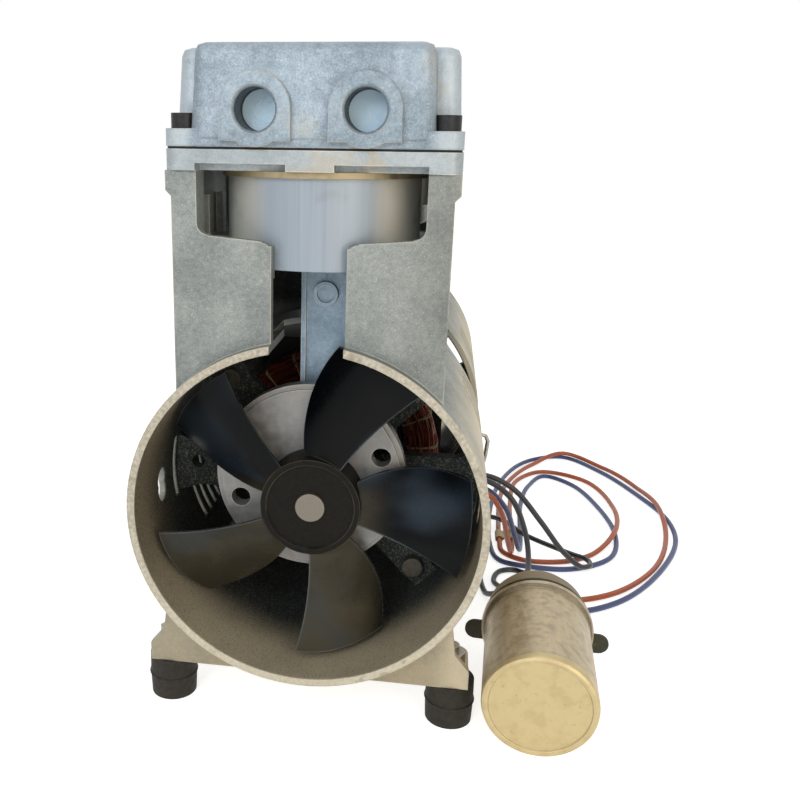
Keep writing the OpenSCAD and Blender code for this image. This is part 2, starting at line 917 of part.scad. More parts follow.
// The climb to the next layer takes the half turn round the reversal
function winding_y(t) =
    let (near = round(t / winding_turns), d = t - near * winding_turns)
        near == 0 || near == winding_layers ? (near == 0 ? 0 : winding_layers - 1) * winding_pitch
        : abs(d) > 0.25 ? (floor(t / winding_turns)) * winding_pitch
        : (near - 0.5 + 2 * d) * winding_pitch;
winding_path = [for (i = [0 : winding_turns * winding_layers * loop_steps])
    let (t = i / loop_steps)
        [winding_r(t) * cos(360 * t), winding_y(t), winding_r(t) * sin(360 * t)]];
winding_gap = min([for (i = [0 : 2 : len(winding_path) - 1 - loop_steps])
    min([for (j = [i + loop_steps - 6 : len(winding_path) - 1])
        norm(winding_path[i] - winding_path[j])])]) - winding_tube;
echo(str("Least gap between turns of the end winding: ", winding_gap, " mm"));

module end_winding(end)
    color("#7a2f16")
        translate([0, 0, shaft_h])
            rotate([0, 0, 180 * (1 - end)])
                translate([0, core_l / 2 + winding_tube / 2 + seat_gap, 0])
                    tube(winding_path, winding_tube / 2, 6);

bolt_l = body_l - 2 * web_s + 2;
module through_bolts()
    color("dimgray")
        translate([0, 0, shaft_h])
            for (p = bolt_places) {
                rod_y(bolt_r, -body_l / 2 + web_s - 1, bolt_l + 6, p[0], p[1]);
                rod_y(4.4, -body_l / 2 + web_s - 4.5, 4.5, p[0], p[1]);
            }

module through_bolt_nuts()
    color("dimgray")
        translate([0, 0, shaft_h])
            for (p = bolt_places)
                difference() {
                    translate([p[0], body_l / 2 - web_s, p[1]])
                        rotate([-90, 0, 0])
                            cylinder(r = 4.6, h = 4, $fn = 6);
                    rod_y(bolt_r + 0.05, 0, body_l, p[0], p[1]);
                }

// Feet
function foot_places() = [for (m = [-1, 1], n = [-1, 1]) [m * foot_x, n * (body_l / 2 - foot_s)]];
stud_r = 3;
insert_r = 4;
insert_bore_r = 2.5;
insert_l = 7;
module foot(sx, sy)
    color("#2b2a26")
        translate([sx * foot_x, sy * (body_l / 2 - foot_s), 0])
            difference() {
                rotate_extrude()
                    union() {
                        polygon([[0, 0], [foot_r - 0.4, 0], [foot_r, foot_h / 2],
                            [foot_r - 0.2, foot_h], [0, foot_h]]);
                        translate([foot_r - 0.3, foot_h / 2]) circle(0.7);
                    }
                translate([0, 0, -1])
                    cylinder(r = insert_r, h = insert_l + 1);
                translate([0, 0, foot_h - 6])
                    cylinder(r = stud_r, h = 7);
            }

module foot_inserts()
    color("silver")
        for (p = foot_places())
            translate([p[0], p[1], 0])
                difference() {
                    cylinder(r = insert_r, h = insert_l);
                    translate([0, 0, -1])
                        cylinder(r = insert_bore_r, h = insert_l + 2);
                }

module foot_studs()
    color("silver")
        for (p = foot_places())
            translate([p[0], p[1], foot_h - 6])
                cylinder(r = stud_r, h = 6 + base_t + 9);

module foot_nuts()
    color("silver")
        for (p = foot_places())
            translate([p[0], p[1], foot_h + base_t])
                difference() {
                    union() {
                        cylinder(r = 5.6, h = 0.9);
                        translate([0, 0, 0.9])
                            cylinder(r = 5.5, h = 4.6, $fn = 6);
                    }
                    translate([0, 0, -1])
                        cylinder(r = stud_r + 0.05, h = 9);
                }

// Capacitor, lying on the floor with its axis leaning by the rim's height
module at_capacitor()
    translate([cap_x, cap_y, can_r / cos(cap_tilt)])
        rotate([0, 0, cap_turn])
            rotate([cap_tilt, 0, 0])
                rotate([-90, 0, 0])
                    children();

module capacitor_can()
    color("tan")
        at_capacitor()
            rotate_extrude()
                polygon([[0, 1], [can_r - 3, 1], [can_r - 2.6, 0.2], [can_r - 1.4, 0],
                    [can_r - 0.3, 0.5], [can_r, 1.8], [can_r, can_l - 4],
                    [can_rim_r - 0.4, can_l - 3.4], [can_rim_r, can_l - 2.6],
                    [can_rim_r, can_l - 0.6], [can_rim_r - 0.6, can_l], [0, can_l]]);

module capacitor_cover()
    color("#4a4640")
        at_capacitor()
            rotate_extrude()
                polygon([[0, can_l], [can_r - 0.6, can_l], [can_r - 0.6, can_l + cover_l - 8],
                    [can_r - 3, can_l + cover_l - 2.5], [can_r - 8, can_l + cover_l],
                    [0, can_l + cover_l]]);

module capacitor_clamp()
    color("dimgray")
        at_capacitor()
            translate([0, 0, can_l + 1])
                linear_extrude(1.2)
                    difference() {
                        union() {
                            circle(can_rim_r - 0.4);
                            for (m = [-1, 1]) {
                                translate([m * (can_rim_r + 2.6), 5]) circle(4.6);
                                translate([m > 0 ? can_rim_r - 6 : 6 - can_rim_r - 8, 0.4])
                                    square([8, 9.2]);
                            }
                        }
                        circle(can_r - 0.3);
                    }

// Rubber bush in the gap between the castings, where the leads come out
gap_l = body_l - 2 * casting_l;
bush_face_x = 70;
bush_z = 58;
bush_h = 14;
module lead_bush()
    color("#2b2a26")
        translate([core_hw + 1, -gap_l / 2, bush_z - bush_h / 2])
            cube([bush_face_x - core_hw - 1, gap_l, bush_h]);

// Bent wire on the bush that held the leads together
clip_top = bush_z + bush_h / 2;
clip_route = [[69.3, 3, clip_top + 1.4], [72.5, 3, clip_top + 2.5], [74.2, 3, clip_top + 4.8],
    [74.9, 3, clip_top + 8.5], [75.3, 3, clip_top + 13], [75.6, 3, clip_top + 15.9],
    [74.4, 3, clip_top + 18.6], [71.6, 2.5, clip_top + 19.6], [69, 2, clip_top + 15],
    [66, 1, clip_top + 7], [64, 0, clip_top + 0.6]];
module lead_clip()
    color("silver")
        tube(clip_route, 1.1, 8);

// The leads come out of the bush, drop to the floor and lie there in two loops.
// A lead that crosses another rides over it in a low hump.
lay_z = 1.7;
over_z = 5.2;
out_hi = bush_z + 3.5;
out_lo = bush_z - 3.5;
// The orange lead runs straight through the tag
tag_x = 89.7;
tag_y = 51;
tag_z = 2.6;
orange_route = [[bush_face_x, -3.5, out_lo], [73, -3.5, out_lo], [79, -3, 52], [86, 3, 40],
    [91, 18, 20], [95, 32, 5], [97, 48, lay_z], [100, 115, lay_z], [108, 160, lay_z],
    [128, 181, lay_z], [155, 168, lay_z], [167, 125, lay_z], [160, 72, over_z], [143, 44, lay_z],
    [125, 31, lay_z], [102, 29, lay_z], [91, 38, lay_z], [tag_x, tag_y, tag_z],
    [tag_x + 0.2, tag_y + 15, tag_z], [98, 145, lay_z], [122, 196, lay_z], [146, 216, over_z],
    [172, 199, lay_z], [190, 160, lay_z], [195, 119, over_z], [192, 80, lay_z], [176, 33, lay_z],
    [150, -1, lay_z], [128, -14, lay_z], [118, -14, lay_z]];
blue_route = [[bush_face_x, 3.5, out_lo], [73, 3.5, out_lo], [79, 4, 52], [88, 10, 41],
    [95, 23, 21], [100, 36, 5], [102, 50, lay_z], [107, 115, lay_z], [115, 150, lay_z],
    [128, 172, lay_z], [145, 158, lay_z], [157, 120, lay_z], [161, 75, lay_z], [152, 40, lay_z],
    [128, 22, lay_z], [104, 21, lay_z], [89, 26, lay_z], [84, 45, lay_z], [94, 148, lay_z],
    [119, 203, lay_z], [146, 217, lay_z], [170, 188, lay_z], [188, 145, lay_z], [198, 108, lay_z],
    [196, 72, lay_z], [176, 25, lay_z], [150, -11, lay_z], [128, -26, lay_z], [118, -26, lay_z]];
long_route = [[bush_face_x, 3.5, out_hi], [74, 3.5, out_hi], [81, 3.5, 60], [92, 3, 54],
    [107, 6, 36], [121, 11, 17], [132, 15, 7], [138, 21, 5.5], [137, 29, over_z], [129, 35, over_z],
    [104, 52, 7.6], [94, 66, 8.8], [84, 78, 6.4], [76, 81, 2.5], [73, 70, lay_z], [76, 20, lay_z],
    [79, -15, lay_z], [87, -28, 10], [95, -44, 23]];
short_route = [[bush_face_x, -3.5, out_hi], [74, -3.5, out_hi], [81, -4, 59], [90, -6, 52],
    [98, -3, 34], [102, 3, 14], [102, 10, 3], [96, 15, lay_z], [88, 12, lay_z], [84, 0, lay_z],
    [88, -14, 5], [96, -30, 15], [101, -46, 20]];
// Both capacitor leads end square against the back of its cover
function at_cover(x, z, back) =
    let (d = can_l + cover_l + back, c = cos(cap_tilt), n = sin(cap_tilt), h = can_r / c)
        [cap_x + x * cos(cap_turn) - (d * c - z * n) * sin(cap_turn),
            cap_y + x * sin(cap_turn) + (d * c - z * n) * cos(cap_turn), h + d * n + z * c];
module lead_orange()
    color("chocolate")
        tube(orange_route, lead_d / 2, 8);
module lead_blue()
    color("slateblue")
        tube(blue_route, lead_d / 2, 8);
module capacitor_lead_long()
    color("#333333")
        tube(concat(long_route, [at_cover(-3, 3, 8), at_cover(-3, 3, 0)]), lead_d / 2, 8);
module capacitor_lead_short()
    color("#333333")
        tube(concat(short_route, [at_cover(3, -3, 8), at_cover(3, -3, 0)]), lead_d / 2, 8);

// Push-on terminals on the ends of the two supply leads
module lead_terminals()
    color("silver")
        for (p = [orange_route[len(orange_route) - 1], blue_route[len(blue_route) - 1]])
            translate(p)
                rotate([0, -90, 0]) {
                    cylinder(r = 1.6, h = 6);
                    translate([-1.2, -3.2, 6 - eps])
                        difference() {
                            cube([2.4, 6.4, 8]);
                            translate([0.8, 0.8, 1])
                                cube([0.9, 4.8, 8]);
                        }
                }

// Flag of tape folded round the orange lead
tag_l = 10;
tag_bore_r = lead_d / 2 + 0.25;
module lead_tag()
    color("wheat")
        translate([tag_x + 0.03, tag_y + 2.5, tag_z])
            rotate([0, 0, -0.8])
                difference() {
                    union() {
                        rod_y(tag_bore_r + 0.5, 0, tag_l);
                        rotate([0, -12, 0])
                            translate([tag_bore_r, 0, -0.1])
                                cube([8, tag_l, 0.8]);
                    }
                    rod_y(tag_bore_r, -1, tag_l + 2);
                }

housing(0);  // front_housing
housing(1);  // rear_housing
sleeve(0);  // front_sleeve
sleeve(1);  // rear_sleeve
sleeve_seal(0);  // front_sleeve_seal
sleeve_seal(1);  // rear_sleeve_seal
valve_plate(0);  // front_valve_plate
valve_plate(1);  // rear_valve_plate
head_gasket(0);  // front_head_gasket
head_gasket(1);  // rear_head_gasket
head(0);  // front_head
head(1);  // rear_head
head_screws(0);  // front_head_screws
head_screws(1);  // rear_head_screws
intake_reed(0);  // front_intake_reed
intake_reed(1);  // rear_intake_reed
exhaust_reed(0);  // front_exhaust_reed
exhaust_reed(1);  // rear_exhaust_reed
fan(0);  // front_fan
fan(1);  // rear_fan
counterweight(0);  // front_counterweight
counterweight(1);  // rear_counterweight
connecting_rod(0);  // front_connecting_rod
connecting_rod(1);  // rear_connecting_rod
rod_bearing(0);  // front_rod_bearing
rod_bearing(1);  // rear_rod_bearing
piston_cup(0);  // front_piston_cup
piston_cup(1);  // rear_piston_cup
cup_retainer(0);  // front_cup_retainer
cup_retainer(1);  // rear_cup_retainer
retainer_screw(0);  // front_retainer_screw
retainer_screw(1);  // rear_retainer_screw
main_bearing(0);  // front_main_bearing
main_bearing(1);  // rear_main_bearing
crankshaft();
rotor_core();
rotor_end_rings();
stator_core();
end_winding(0);  // front_end_winding
end_winding(1);  // rear_end_winding
through_bolts();
through_bolt_nuts();
foot(-1, -1);  // front_left_foot
foot(1, -1);  // front_right_foot
foot(-1, 1);  // rear_left_foot
foot(1, 1);  // rear_right_foot
foot_studs();
foot_nuts();
foot_inserts();
capacitor_can();
capacitor_cover();
capacitor_clamp();
lead_bush();
lead_clip();
lead_orange();
lead_blue();
capacitor_lead_long();
capacitor_lead_short();
lead_terminals();
lead_tag();
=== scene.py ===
import math
import random

import bmesh
import bpy
from mathutils import Matrix, Vector


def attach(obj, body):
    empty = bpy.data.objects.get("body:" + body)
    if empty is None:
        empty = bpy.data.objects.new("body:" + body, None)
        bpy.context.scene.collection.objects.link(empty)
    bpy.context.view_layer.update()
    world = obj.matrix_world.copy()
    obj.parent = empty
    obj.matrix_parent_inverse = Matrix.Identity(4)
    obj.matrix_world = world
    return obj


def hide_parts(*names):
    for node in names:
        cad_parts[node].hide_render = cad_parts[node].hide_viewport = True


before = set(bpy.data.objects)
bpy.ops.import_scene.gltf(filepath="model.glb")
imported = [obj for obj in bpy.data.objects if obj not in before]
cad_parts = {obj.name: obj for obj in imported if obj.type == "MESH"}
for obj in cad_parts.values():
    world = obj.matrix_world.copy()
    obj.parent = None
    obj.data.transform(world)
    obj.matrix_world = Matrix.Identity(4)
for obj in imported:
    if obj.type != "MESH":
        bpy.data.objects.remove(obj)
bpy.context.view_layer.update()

shaftHeight = 0.0915  # the crankshaft runs along y at this height
rimAt = 0.1455  # both shroud rims stand this far from the middle
ends = (("front", 1), ("rear", -1))


# a #rrggbb colour as linear light
def paint(hexText):
    channels = [int(hexText[i:i + 2], 16) / 255 for i in (1, 3, 5)]
    linear = [c / 12.92 if c <= 0.04045 else ((c + 0.055) / 1.055) ** 2.4 for c in channels]
    return (*linear, 1)


# a new node with its settings, and its inputs set or linked
def put(tree, kind, inputs=None, **settings):
    node = tree.nodes.new(kind)
    for key, value in settings.items():
        setattr(node, key, value)
    for key, value in (inputs or {}).items():
        if isinstance(value, bpy.types.NodeSocket):
            tree.links.new(value, node.inputs[key])
        else:
            node.inputs[key].default_value = value
    return node


def math2(tree, operation, a, b=0.0, clamp=False):
    return put(tree, "ShaderNodeMath", {0: a, 1: b}, operation=operation, use_clamp=clamp).outputs[0]


def times(tree, product, *factors):
    for factor in factors:
        product = math2(tree, "MULTIPLY", product, factor)
    return product


# a smooth change from one value to another while the input goes from low to high
def ramp(tree, value, low, high, toLow=0.0, toHigh=1.0):
    return put(tree, "ShaderNodeMapRange", {"Value": value, "From Min": low, "From Max": high,
               "To Min": toLow, "To Max": toHigh}, interpolation_type="SMOOTHSTEP").outputs[0]


def blendColour(tree, factor, a, b):
    node = put(tree, "ShaderNodeMix", {"Factor": factor}, data_type="RGBA")
    for index, colour in ((6, a), (7, b)):
        if isinstance(colour, str):
            node.inputs[index].default_value = paint(colour)
        else:
            tree.links.new(colour, node.inputs[index])
    return node.outputs[2]


# the colour with a share of another one where the mask says so
def tint(tree, colour, other, mask, share=1):
    return blendColour(tree, mask if share == 1 else times(tree, mask, share), colour, other)


def objectPlace(tree):
    return put(tree, "ShaderNodeTexCoord").outputs["Object"]


def splitPlace(tree):
    return put(tree, "ShaderNodeSeparateXYZ", {0: objectPlace(tree)}).outputs


# stretched places, for brushed and turned patterns
def squeezed(tree, scale):
    return put(tree, "ShaderNodeMapping", {"Vector": objectPlace(tree), "Scale": scale}).outputs[0]


def noise(tree, scale, detail=3.0, place=None, distortion=0.0):
    return put(tree, "ShaderNodeTexNoise", {"Vector": place or objectPlace(tree), "Scale": scale,
               "Detail": detail, "Distortion": distortion}).outputs["Fac"]


def newGroup(name, inputs, outputs):
    group = bpy.data.node_groups.new(name, "ShaderNodeTree")
    for label, value in inputs.items():
        socket = group.interface.new_socket(label, in_out="INPUT", socket_type="NodeSocketFloat")
        socket.default_value = value
    for label in outputs:
        group.interface.new_socket(label, in_out="OUTPUT", socket_type="NodeSocketFloat")
    return group, put(group, "NodeGroupInput").outputs, put(group, "NodeGroupOutput").inputs


grainScales = {"fine": 2100, "middle": 520, "broad": 60, "cells": 1700}


# fine grain, broad mottling and the few crystals that catch the light
def makeCastGrain():
    group, given, out = newGroup("castGrain", {"Scale": 1.0}, ("Tone", "Height", "Sparkle"))
    scales = {name: times(group, given["Scale"], scale) for name, scale in grainScales.items()}
    fine = noise(group, scales["fine"], 5)
    middle = noise(group, scales["middle"], 4)
    broad = noise(group, scales["broad"], 4)
    tone = math2(group, "ADD", times(group, ramp(group, fine, 0.3, 0.7), 0.34),
                 times(group, ramp(group, middle, 0.25, 0.75), 0.28))
    tone = math2(group, "ADD", tone, times(group, ramp(group, broad, 0.3, 0.7), 0.38), True)
    height = math2(group, "ADD", times(group, fine, 0.55), times(group, middle, 0.45))
    cells = put(group, "ShaderNodeTexVoronoi",
                {"Vector": objectPlace(group), "Scale": scales["cells"]}).outputs
    chosen = put(group, "ShaderNodeSeparateColor", {0: cells["Color"]}).outputs[0]
    sparkle = times(group, ramp(group, chosen, 0.86, 0.98), ramp(group, cells["Distance"], 0.5, 0.2))
    for label, value in (("Tone", tone), ("Height", height), ("Sparkle", sparkle)):
        group.links.new(value, out[label])
    return group


# how far the surface bends within a short radius, broken up into patches
def makeEdgeMask():
    group, given, out = newGroup("edgeMask", {"Radius": 0.001, "Break": 60.0}, ("Mask",))
    rounded = put(group, "ShaderNodeBevel", {"Radius": given["Radius"]}, samples=6).outputs[0]
    plain = put(group, "ShaderNodeNewGeometry").outputs["Normal"]
    along = put(group, "ShaderNodeVectorMath", {0: rounded, 1: plain},
                operation="DOT_PRODUCT").outputs["Value"]
    patchy = ramp(group, noise(group, given["Break"], 4), 0.3, 0.62)
    group.links.new(times(group, ramp(group, along, 0.995, 0.85), patchy), out["Mask"])
    return group


# patches that cover a share of the surface
def makePatches():
    group, given, out = newGroup("patches", {"Scale": 30.0, "Cover": 0.5, "Soft": 0.1}, ("Mask",))
    field = noise(group, given["Scale"], 5, distortion=0.4)
    low = math2(group, "SUBTRACT", 0.72, times(group, given["Cover"], 0.44))
    high = math2(group, "ADD", low, given["Soft"])
    group.links.new(ramp(group, field, low, high), out["Mask"])
    return group


groups = {"castGrain": makeCastGrain(), "edgeMask": makeEdgeMask(), "patches": makePatches()}


def useGroup(tree, name, **inputs):
    node = put(tree, "ShaderNodeGroup", node_tree=groups[name])
    for key, value in inputs.items():
        node.inputs[key].default_value = value
    return node.outputs


def edges(tree, radius, brokenAt=60):
    return useGroup(tree, "edgeMask", Radius=radius, Break=brokenAt)["Mask"]


def patches(tree, scale, cover, soft=0.1):
    return useGroup(tree, "patches", Scale=scale, Cover=cover, Soft=soft)["Mask"]


def newMaterial(name, metallic=0.0, roughness=0.5, **shaderValues):
    material = bpy.data.materials.new(name)
    material.use_nodes = True
    tree = material.node_tree
    shader = tree.nodes["Principled BSDF"]
    shader.inputs["Metallic"].default_value = metallic
    shader.inputs["Roughness"].default_value = roughness
    for key, value in shaderValues.items():
        shader.inputs[key.replace("_", " ")].default_value = value
    return material, tree, shader


def setSurface(tree, shader, colour, roughness, height, depth, strength, rounding=0.0004):
    tree.links.new(colour, shader.inputs["Base Color"])
    if roughness is not None:
        tree.links.new(roughness, shader.inputs["Roughness"])
    rounded = put(tree, "ShaderNodeBevel", {"Radius": rounding}, samples=4).outputs[0]
    bumped = put(tree, "ShaderNodeBump", {"Height": height, "Distance": depth, "Strength": strength,
                 "Normal": rounded}).outputs[0]
    tree.links.new(bumped, shader.inputs["Normal"])


def dress(material, *nodeNames):
    for name in nodeNames:
        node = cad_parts[name]
        node.data.materials.clear()
        node.data.materials.append(material)


def bothEnds(*names):
    return [end + "_" + name for name in names for end, sign in ends]


# distance from a line along y through (x, z)
def fromLine(tree, x, z):
    split = splitPlace(tree)
    dx = math2(tree, "SUBTRACT", split[0], x)
    dz = math2(tree, "SUBTRACT", split[2], z)
    return math2(tree, "SQRT", math2(tree, "ADD", times(tree, dx, dx), times(tree, dz, dz)))


# distance from the middle of the machine along the shaft
def farOut(tree):
    return math2(tree, "ABSOLUTE", splitPlace(tree)[1])


# the castings
housingLook = {
    "dark": "#787f7f", "light": "#a7aca7", "warm": "#ac9d7e", "warmLightSide": "#dccfb2", "shade": "#5f5c52",
    "wornLitEdge": "#cfcbbd", "edge": "#e3ddca", "behind": "#12110d", "sparkle": "#d9d9cf",
    "deepShade": "#303938", "nearRim": "#8b806a", "floor": "#d2c6a8", "speckLight": "#cfc6ae",
    "speckDark": "#24211c", "rim": "#cbc5b5", "rimDark": "#aea693", "rimLow": "#ded4ba", "nick": "#8a816e",
    "low": (0.105, 0.02), "right": (0.048, 0.066), "upRightX": (0.02, 0.055), "upRightZ": (0.13, 0.16),
    "cavityDepth": (0.1, 0.09), "cavityHalf": (0.036, 0.033), "cavityFrom": (0.158, 0.166),
    "cavityTo": (0.216, 0.212), "bore": (0.0678, 0.0672), "boreTop": (0.166, 0.158),
    "boreDepth": (0.095, 0.139), "floorHeight": (0.085, 0.035), "floorDepth": (0.1, 0.132),
    "rimDepth": (rimAt - 0.0009, rimAt - 0.0005), "rimRadius": (0.0665, 0.0668),
    "rimLowHeight": (0.09, 0.03), "grainDepth": 0.00022, "rounding": 0.0008}


# the shroud's inside: painted shade that darkens with the depth, and painted light along its floor
def shroudInside(tree, split, depth):
    look = housingLook
    colour = blendColour(tree, ramp(tree, depth, *look["boreDepth"]), look["deepShade"], look["nearRim"])
    lowest = times(tree, ramp(tree, split[2], *look["floorHeight"]), ramp(tree, depth, *look["floorDepth"]))
    colour = tint(tree, colour, look["floor"], lowest, 0.85)
    speckle = noise(tree, 1500, 3)
    colour = tint(tree, colour, look["speckLight"], ramp(tree, speckle, 0.52, 0.66), 0.25)
    return tint(tree, colour, look["speckDark"], ramp(tree, speckle, 0.48, 0.34), 0.35)


# the shroud's turned rim, with small dark nicks
def shroudRim(tree, split):
    look = housingLook
    colour = blendColour(tree, ramp(tree, noise(tree, 700, 4), 0.3, 0.7), look["rimDark"], look["rim"])
    colour = tint(tree, colour, look["rimLow"], ramp(tree, split[2], *look["rimLowHeight"]), 0.5)
    colour = tint(tree, colour, look["nick"], patches(tree, 160, 0.3, 0.08), 0.45)
    # painted highlight along the rim's edges
    return tint(tree, colour, look["edge"], edges(tree, 0.0005), 0.8)


def makeHousingMetal():
    look = housingLook
    material, tree, shader = newMaterial("castHousing", 0.45, 0.55)
    grain = useGroup(tree, "castGrain", Scale=0.9)
    split = splitPlace(tree)
    depth = farOut(tree)
    radius = fromLine(tree, 0, shaftHeight)
    uneven = ramp(tree, noise(tree, 40, 3), 0.2, 0.7, 0.55, 1)
    colour = blendColour(tree, grain["Tone"], look["dark"], look["light"])
    colour = tint(tree, colour, look["warm"], times(tree, ramp(tree, split[2], *look["low"]), uneven), 0.85)
    # painted warm light: lighter and warmer towards the right side
    warmLitRight = ramp(tree, split[0], *look["right"])
    colour = tint(tree, colour, look["warmLightSide"], times(tree, warmLitRight, uneven), 0.85)
    upRight = times(tree, ramp(tree, split[0], *look["upRightX"]), ramp(tree, split[2], *look["upRightZ"]))
    colour = tint(tree, colour, look["shade"], upRight, 0.36)
    # edges lighter: rubbed wear and a painted highlight, then a fine painted highlight line along the
    # sharpest edges
    colour = tint(tree, colour, look["wornLitEdge"], edges(tree, 0.0012), 0.45)
    colour = tint(tree, colour, look["edge"], edges(tree, 0.0006, 25), 0.8)
    # painted shade deep inside the tower, near the middle
    cavity = times(tree, ramp(tree, depth, *look["cavityDepth"]),
                   ramp(tree, math2(tree, "ABSOLUTE", split[0]), *look["cavityHalf"]),
                   ramp(tree, split[2], *look["cavityFrom"]), ramp(tree, split[2], *look["cavityTo"]))
    colour = tint(tree, colour, look["behind"], cavity, 0.85)
    isInside = times(tree, ramp(tree, radius, *look["bore"]), ramp(tree, split[2], *look["boreTop"]))
    colour = blendColour(tree, isInside, colour, shroudInside(tree, split, depth))
    isRim = times(tree, ramp(tree, depth, *look["rimDepth"]), ramp(tree, radius, *look["rimRadius"]))
    colour = blendColour(tree, isRim, colour, shroudRim(tree, split))
    colour = tint(tree, colour, look["sparkle"], grain["Sparkle"], 0.3)
    height = times(tree, grain["Height"], math2(tree, "SUBTRACT", 1, isRim))
    setSurface(tree, shader, colour, ramp(tree, grain["Tone"], 0.2, 0.9, 0.66, 0.48), height,
               look["grainDepth"], 0.9, look["rounding"])
    return material


headLook = {
    "dark": "#7b8a96", "light": "#b0bfca", "litLobe": "#cdd6da", "warm": "#c2b291", "stain": "#7f8b93",
    "wornLitEdge": "#dcdcd4", "sparkle": "#dfe6ea", "portWallShade": "#4b5660", "portFlatLight": "#d4efff",
    "outward": (0.03, 0.05), "lobeHalf": (0.04, 0.045), "low": (0.245, 0.228),
    "portX": 0.0189, "portZ": 0.2418, "portEnd": (0.125, 0.122), "wallRadius": (0.0086, 0.0074),
    "wallDepth": (0.1448, 0.1425), "flatRadius": (0.0072, 0.0069), "flatDepth": (0.1325, 0.1318),
    "grainDepth": 0.00025, "rounding": 0.0014}


def makeHeadMetal():
    look = headLook
    material, tree, shader = newMaterial("castHead", 0.4, 0.5)
    grain = useGroup(tree, "castGrain", Scale=0.75)
    split = splitPlace(tree)
    sideways = math2(tree, "ABSOLUTE", split[0])
    colour = blendColour(tree, grain["Tone"], look["dark"], look["light"])
    # painted light on the side lobes
    colour = tint(tree, colour, look["litLobe"], ramp(tree, sideways, *look["lobeHalf"]), 0.6)
    warmth = math2(tree, "MAXIMUM", times(tree, ramp(tree, sideways, *look["outward"]), 0.75),
                   times(tree, ramp(tree, split[2], *look["low"]), 0.45))
    colour = tint(tree, colour, look["warm"], patches(tree, 45, 0.45, 0.2), warmth)
    colour = tint(tree, colour, look["stain"], patches(tree, 110, 0.25), 0.35)
    # edges lighter: rubbed wear and a painted highlight
    colour = tint(tree, colour, look["wornLitEdge"], edges(tree, 0.0012), 0.6)
    depth = farOut(tree)
    behindPort = ramp(tree, depth, *look["portEnd"])  # keeps the port's colours off the head's far face
    for side in (-1, 1):
        away = math2(tree, "ADD", fromLine(tree, side * look["portX"], look["portZ"]), behindPort)
        # painted shade on the port's wall near its mouth, and painted light on its flat floor
        wall = times(tree, ramp(tree, away, *look["wallRadius"]), ramp(tree, depth, *look["wallDepth"]))
        colour = blendColour(tree, wall, colour, look["portWallShade"])
        flat = times(tree, ramp(tree, away, *look["flatRadius"]), ramp(tree, depth, *look["flatDepth"]))
        colour = blendColour(tree, flat, colour, look["portFlatLight"])
    colour = tint(tree, colour, look["sparkle"], grain["Sparkle"], 0.3)
    setSurface(tree, shader, colour, ramp(tree, grain["Tone"], 0.2, 0.9, 0.6, 0.42), grain["Height"],
               look["grainDepth"], 0.9, look["rounding"])
    return material


valvePlateLook = {"dark": "#8f989c", "light": "#bbc3c6", "warm": "#b8aa90", "edge": "#dad9d0",
                  "grainDepth": 0.00015}


def makePlateMetal():
    look = valvePlateLook
    material, tree, shader = newMaterial("castPlate", 0.5, 0.45)
    grain = useGroup(tree, "castGrain", Scale=1.1)
    colour = blendColour(tree, grain["Tone"], look["dark"], look["light"])
    colour = tint(tree, colour, look["warm"], patches(tree, 60, 0.4), 0.5)
    # painted highlight along the edges
    colour = tint(tree, colour, look["edge"], edges(tree, 0.0008))
    setSurface(tree, shader, colour, ramp(tree, grain["Tone"], 0.2, 0.9, 0.55, 0.4), grain["Height"],
               look["grainDepth"], 0.8)
    return material


rodLook = {"dark": "#768b9c", "light": "#a9bdcd", "wornLitEdge": "#dde4e9", "sparkle": "#d8e2ea",
           "grainDepth": 0.00015}


def makeRodMetal():
    look = rodLook
    material, tree, shader = newMaterial("castRod", 0.5, 0.42)
    grain = useGroup(tree, "castGrain", Scale=1.3)
    colour = blendColour(tree, grain["Tone"], look["dark"], look["light"])
    # edges lighter: rubbed wear and a painted highlight
    colour = tint(tree, colour, look["wornLitEdge"], edges(tree, 0.0009))
    colour = tint(tree, colour, look["sparkle"], grain["Sparkle"], 0.6)
    setSurface(tree, shader, colour, ramp(tree, grain["Tone"], 0.2, 0.9, 0.5, 0.38), grain["Height"],
               look["grainDepth"], 0.8)
    return material


# turned and plain metals
sleeveLook = {"middle": "#94a1ae", "left": "#dddbd0", "right": "#fff6e2", "line": "#d5dde4",
              "wear": "#858d92", "leftFrom": (-0.014, -0.026), "rightFrom": (0.018, 0.03),
              "turning": (900, 900, 12), "lineDepth": 0.00004}


def makeSleeveMetal():
    look = sleeveLook
    material, tree, shader = newMaterial("satinSleeve", 0.2, 0.42)
    split = splitPlace(tree)
    lines = noise(tree, 1, 3, squeezed(tree, look["turning"]))
    # painted light: lighter on both sides of the sleeve, brightest on the right
    colour = blendColour(tree, ramp(tree, split[0], *look["leftFrom"]), look["middle"], look["left"])
    colour = blendColour(tree, ramp(tree, split[0], *look["rightFrom"]), colour, look["right"])
    colour = tint(tree, colour, look["line"], lines, 0.35)
    colour = tint(tree, colour, look["wear"], patches(tree, 70, 0.3, 0.15), 0.25)
    setSurface(tree, shader, colour, ramp(tree, lines, 0.3, 0.7, 0.3, 0.46), lines, look["lineDepth"], 0.5)
    return material


discLook = {"dark": "#707070", "light": "#acaba8", "scratch": "#a9a59f", "rust": "#73543f", "edge": "#c4c2b6",
            "turning": (160, 160, 2600), "rustSlope": 0.9, "rustFrom": (0.1, 0.05), "scratchDepth": 0.00005}


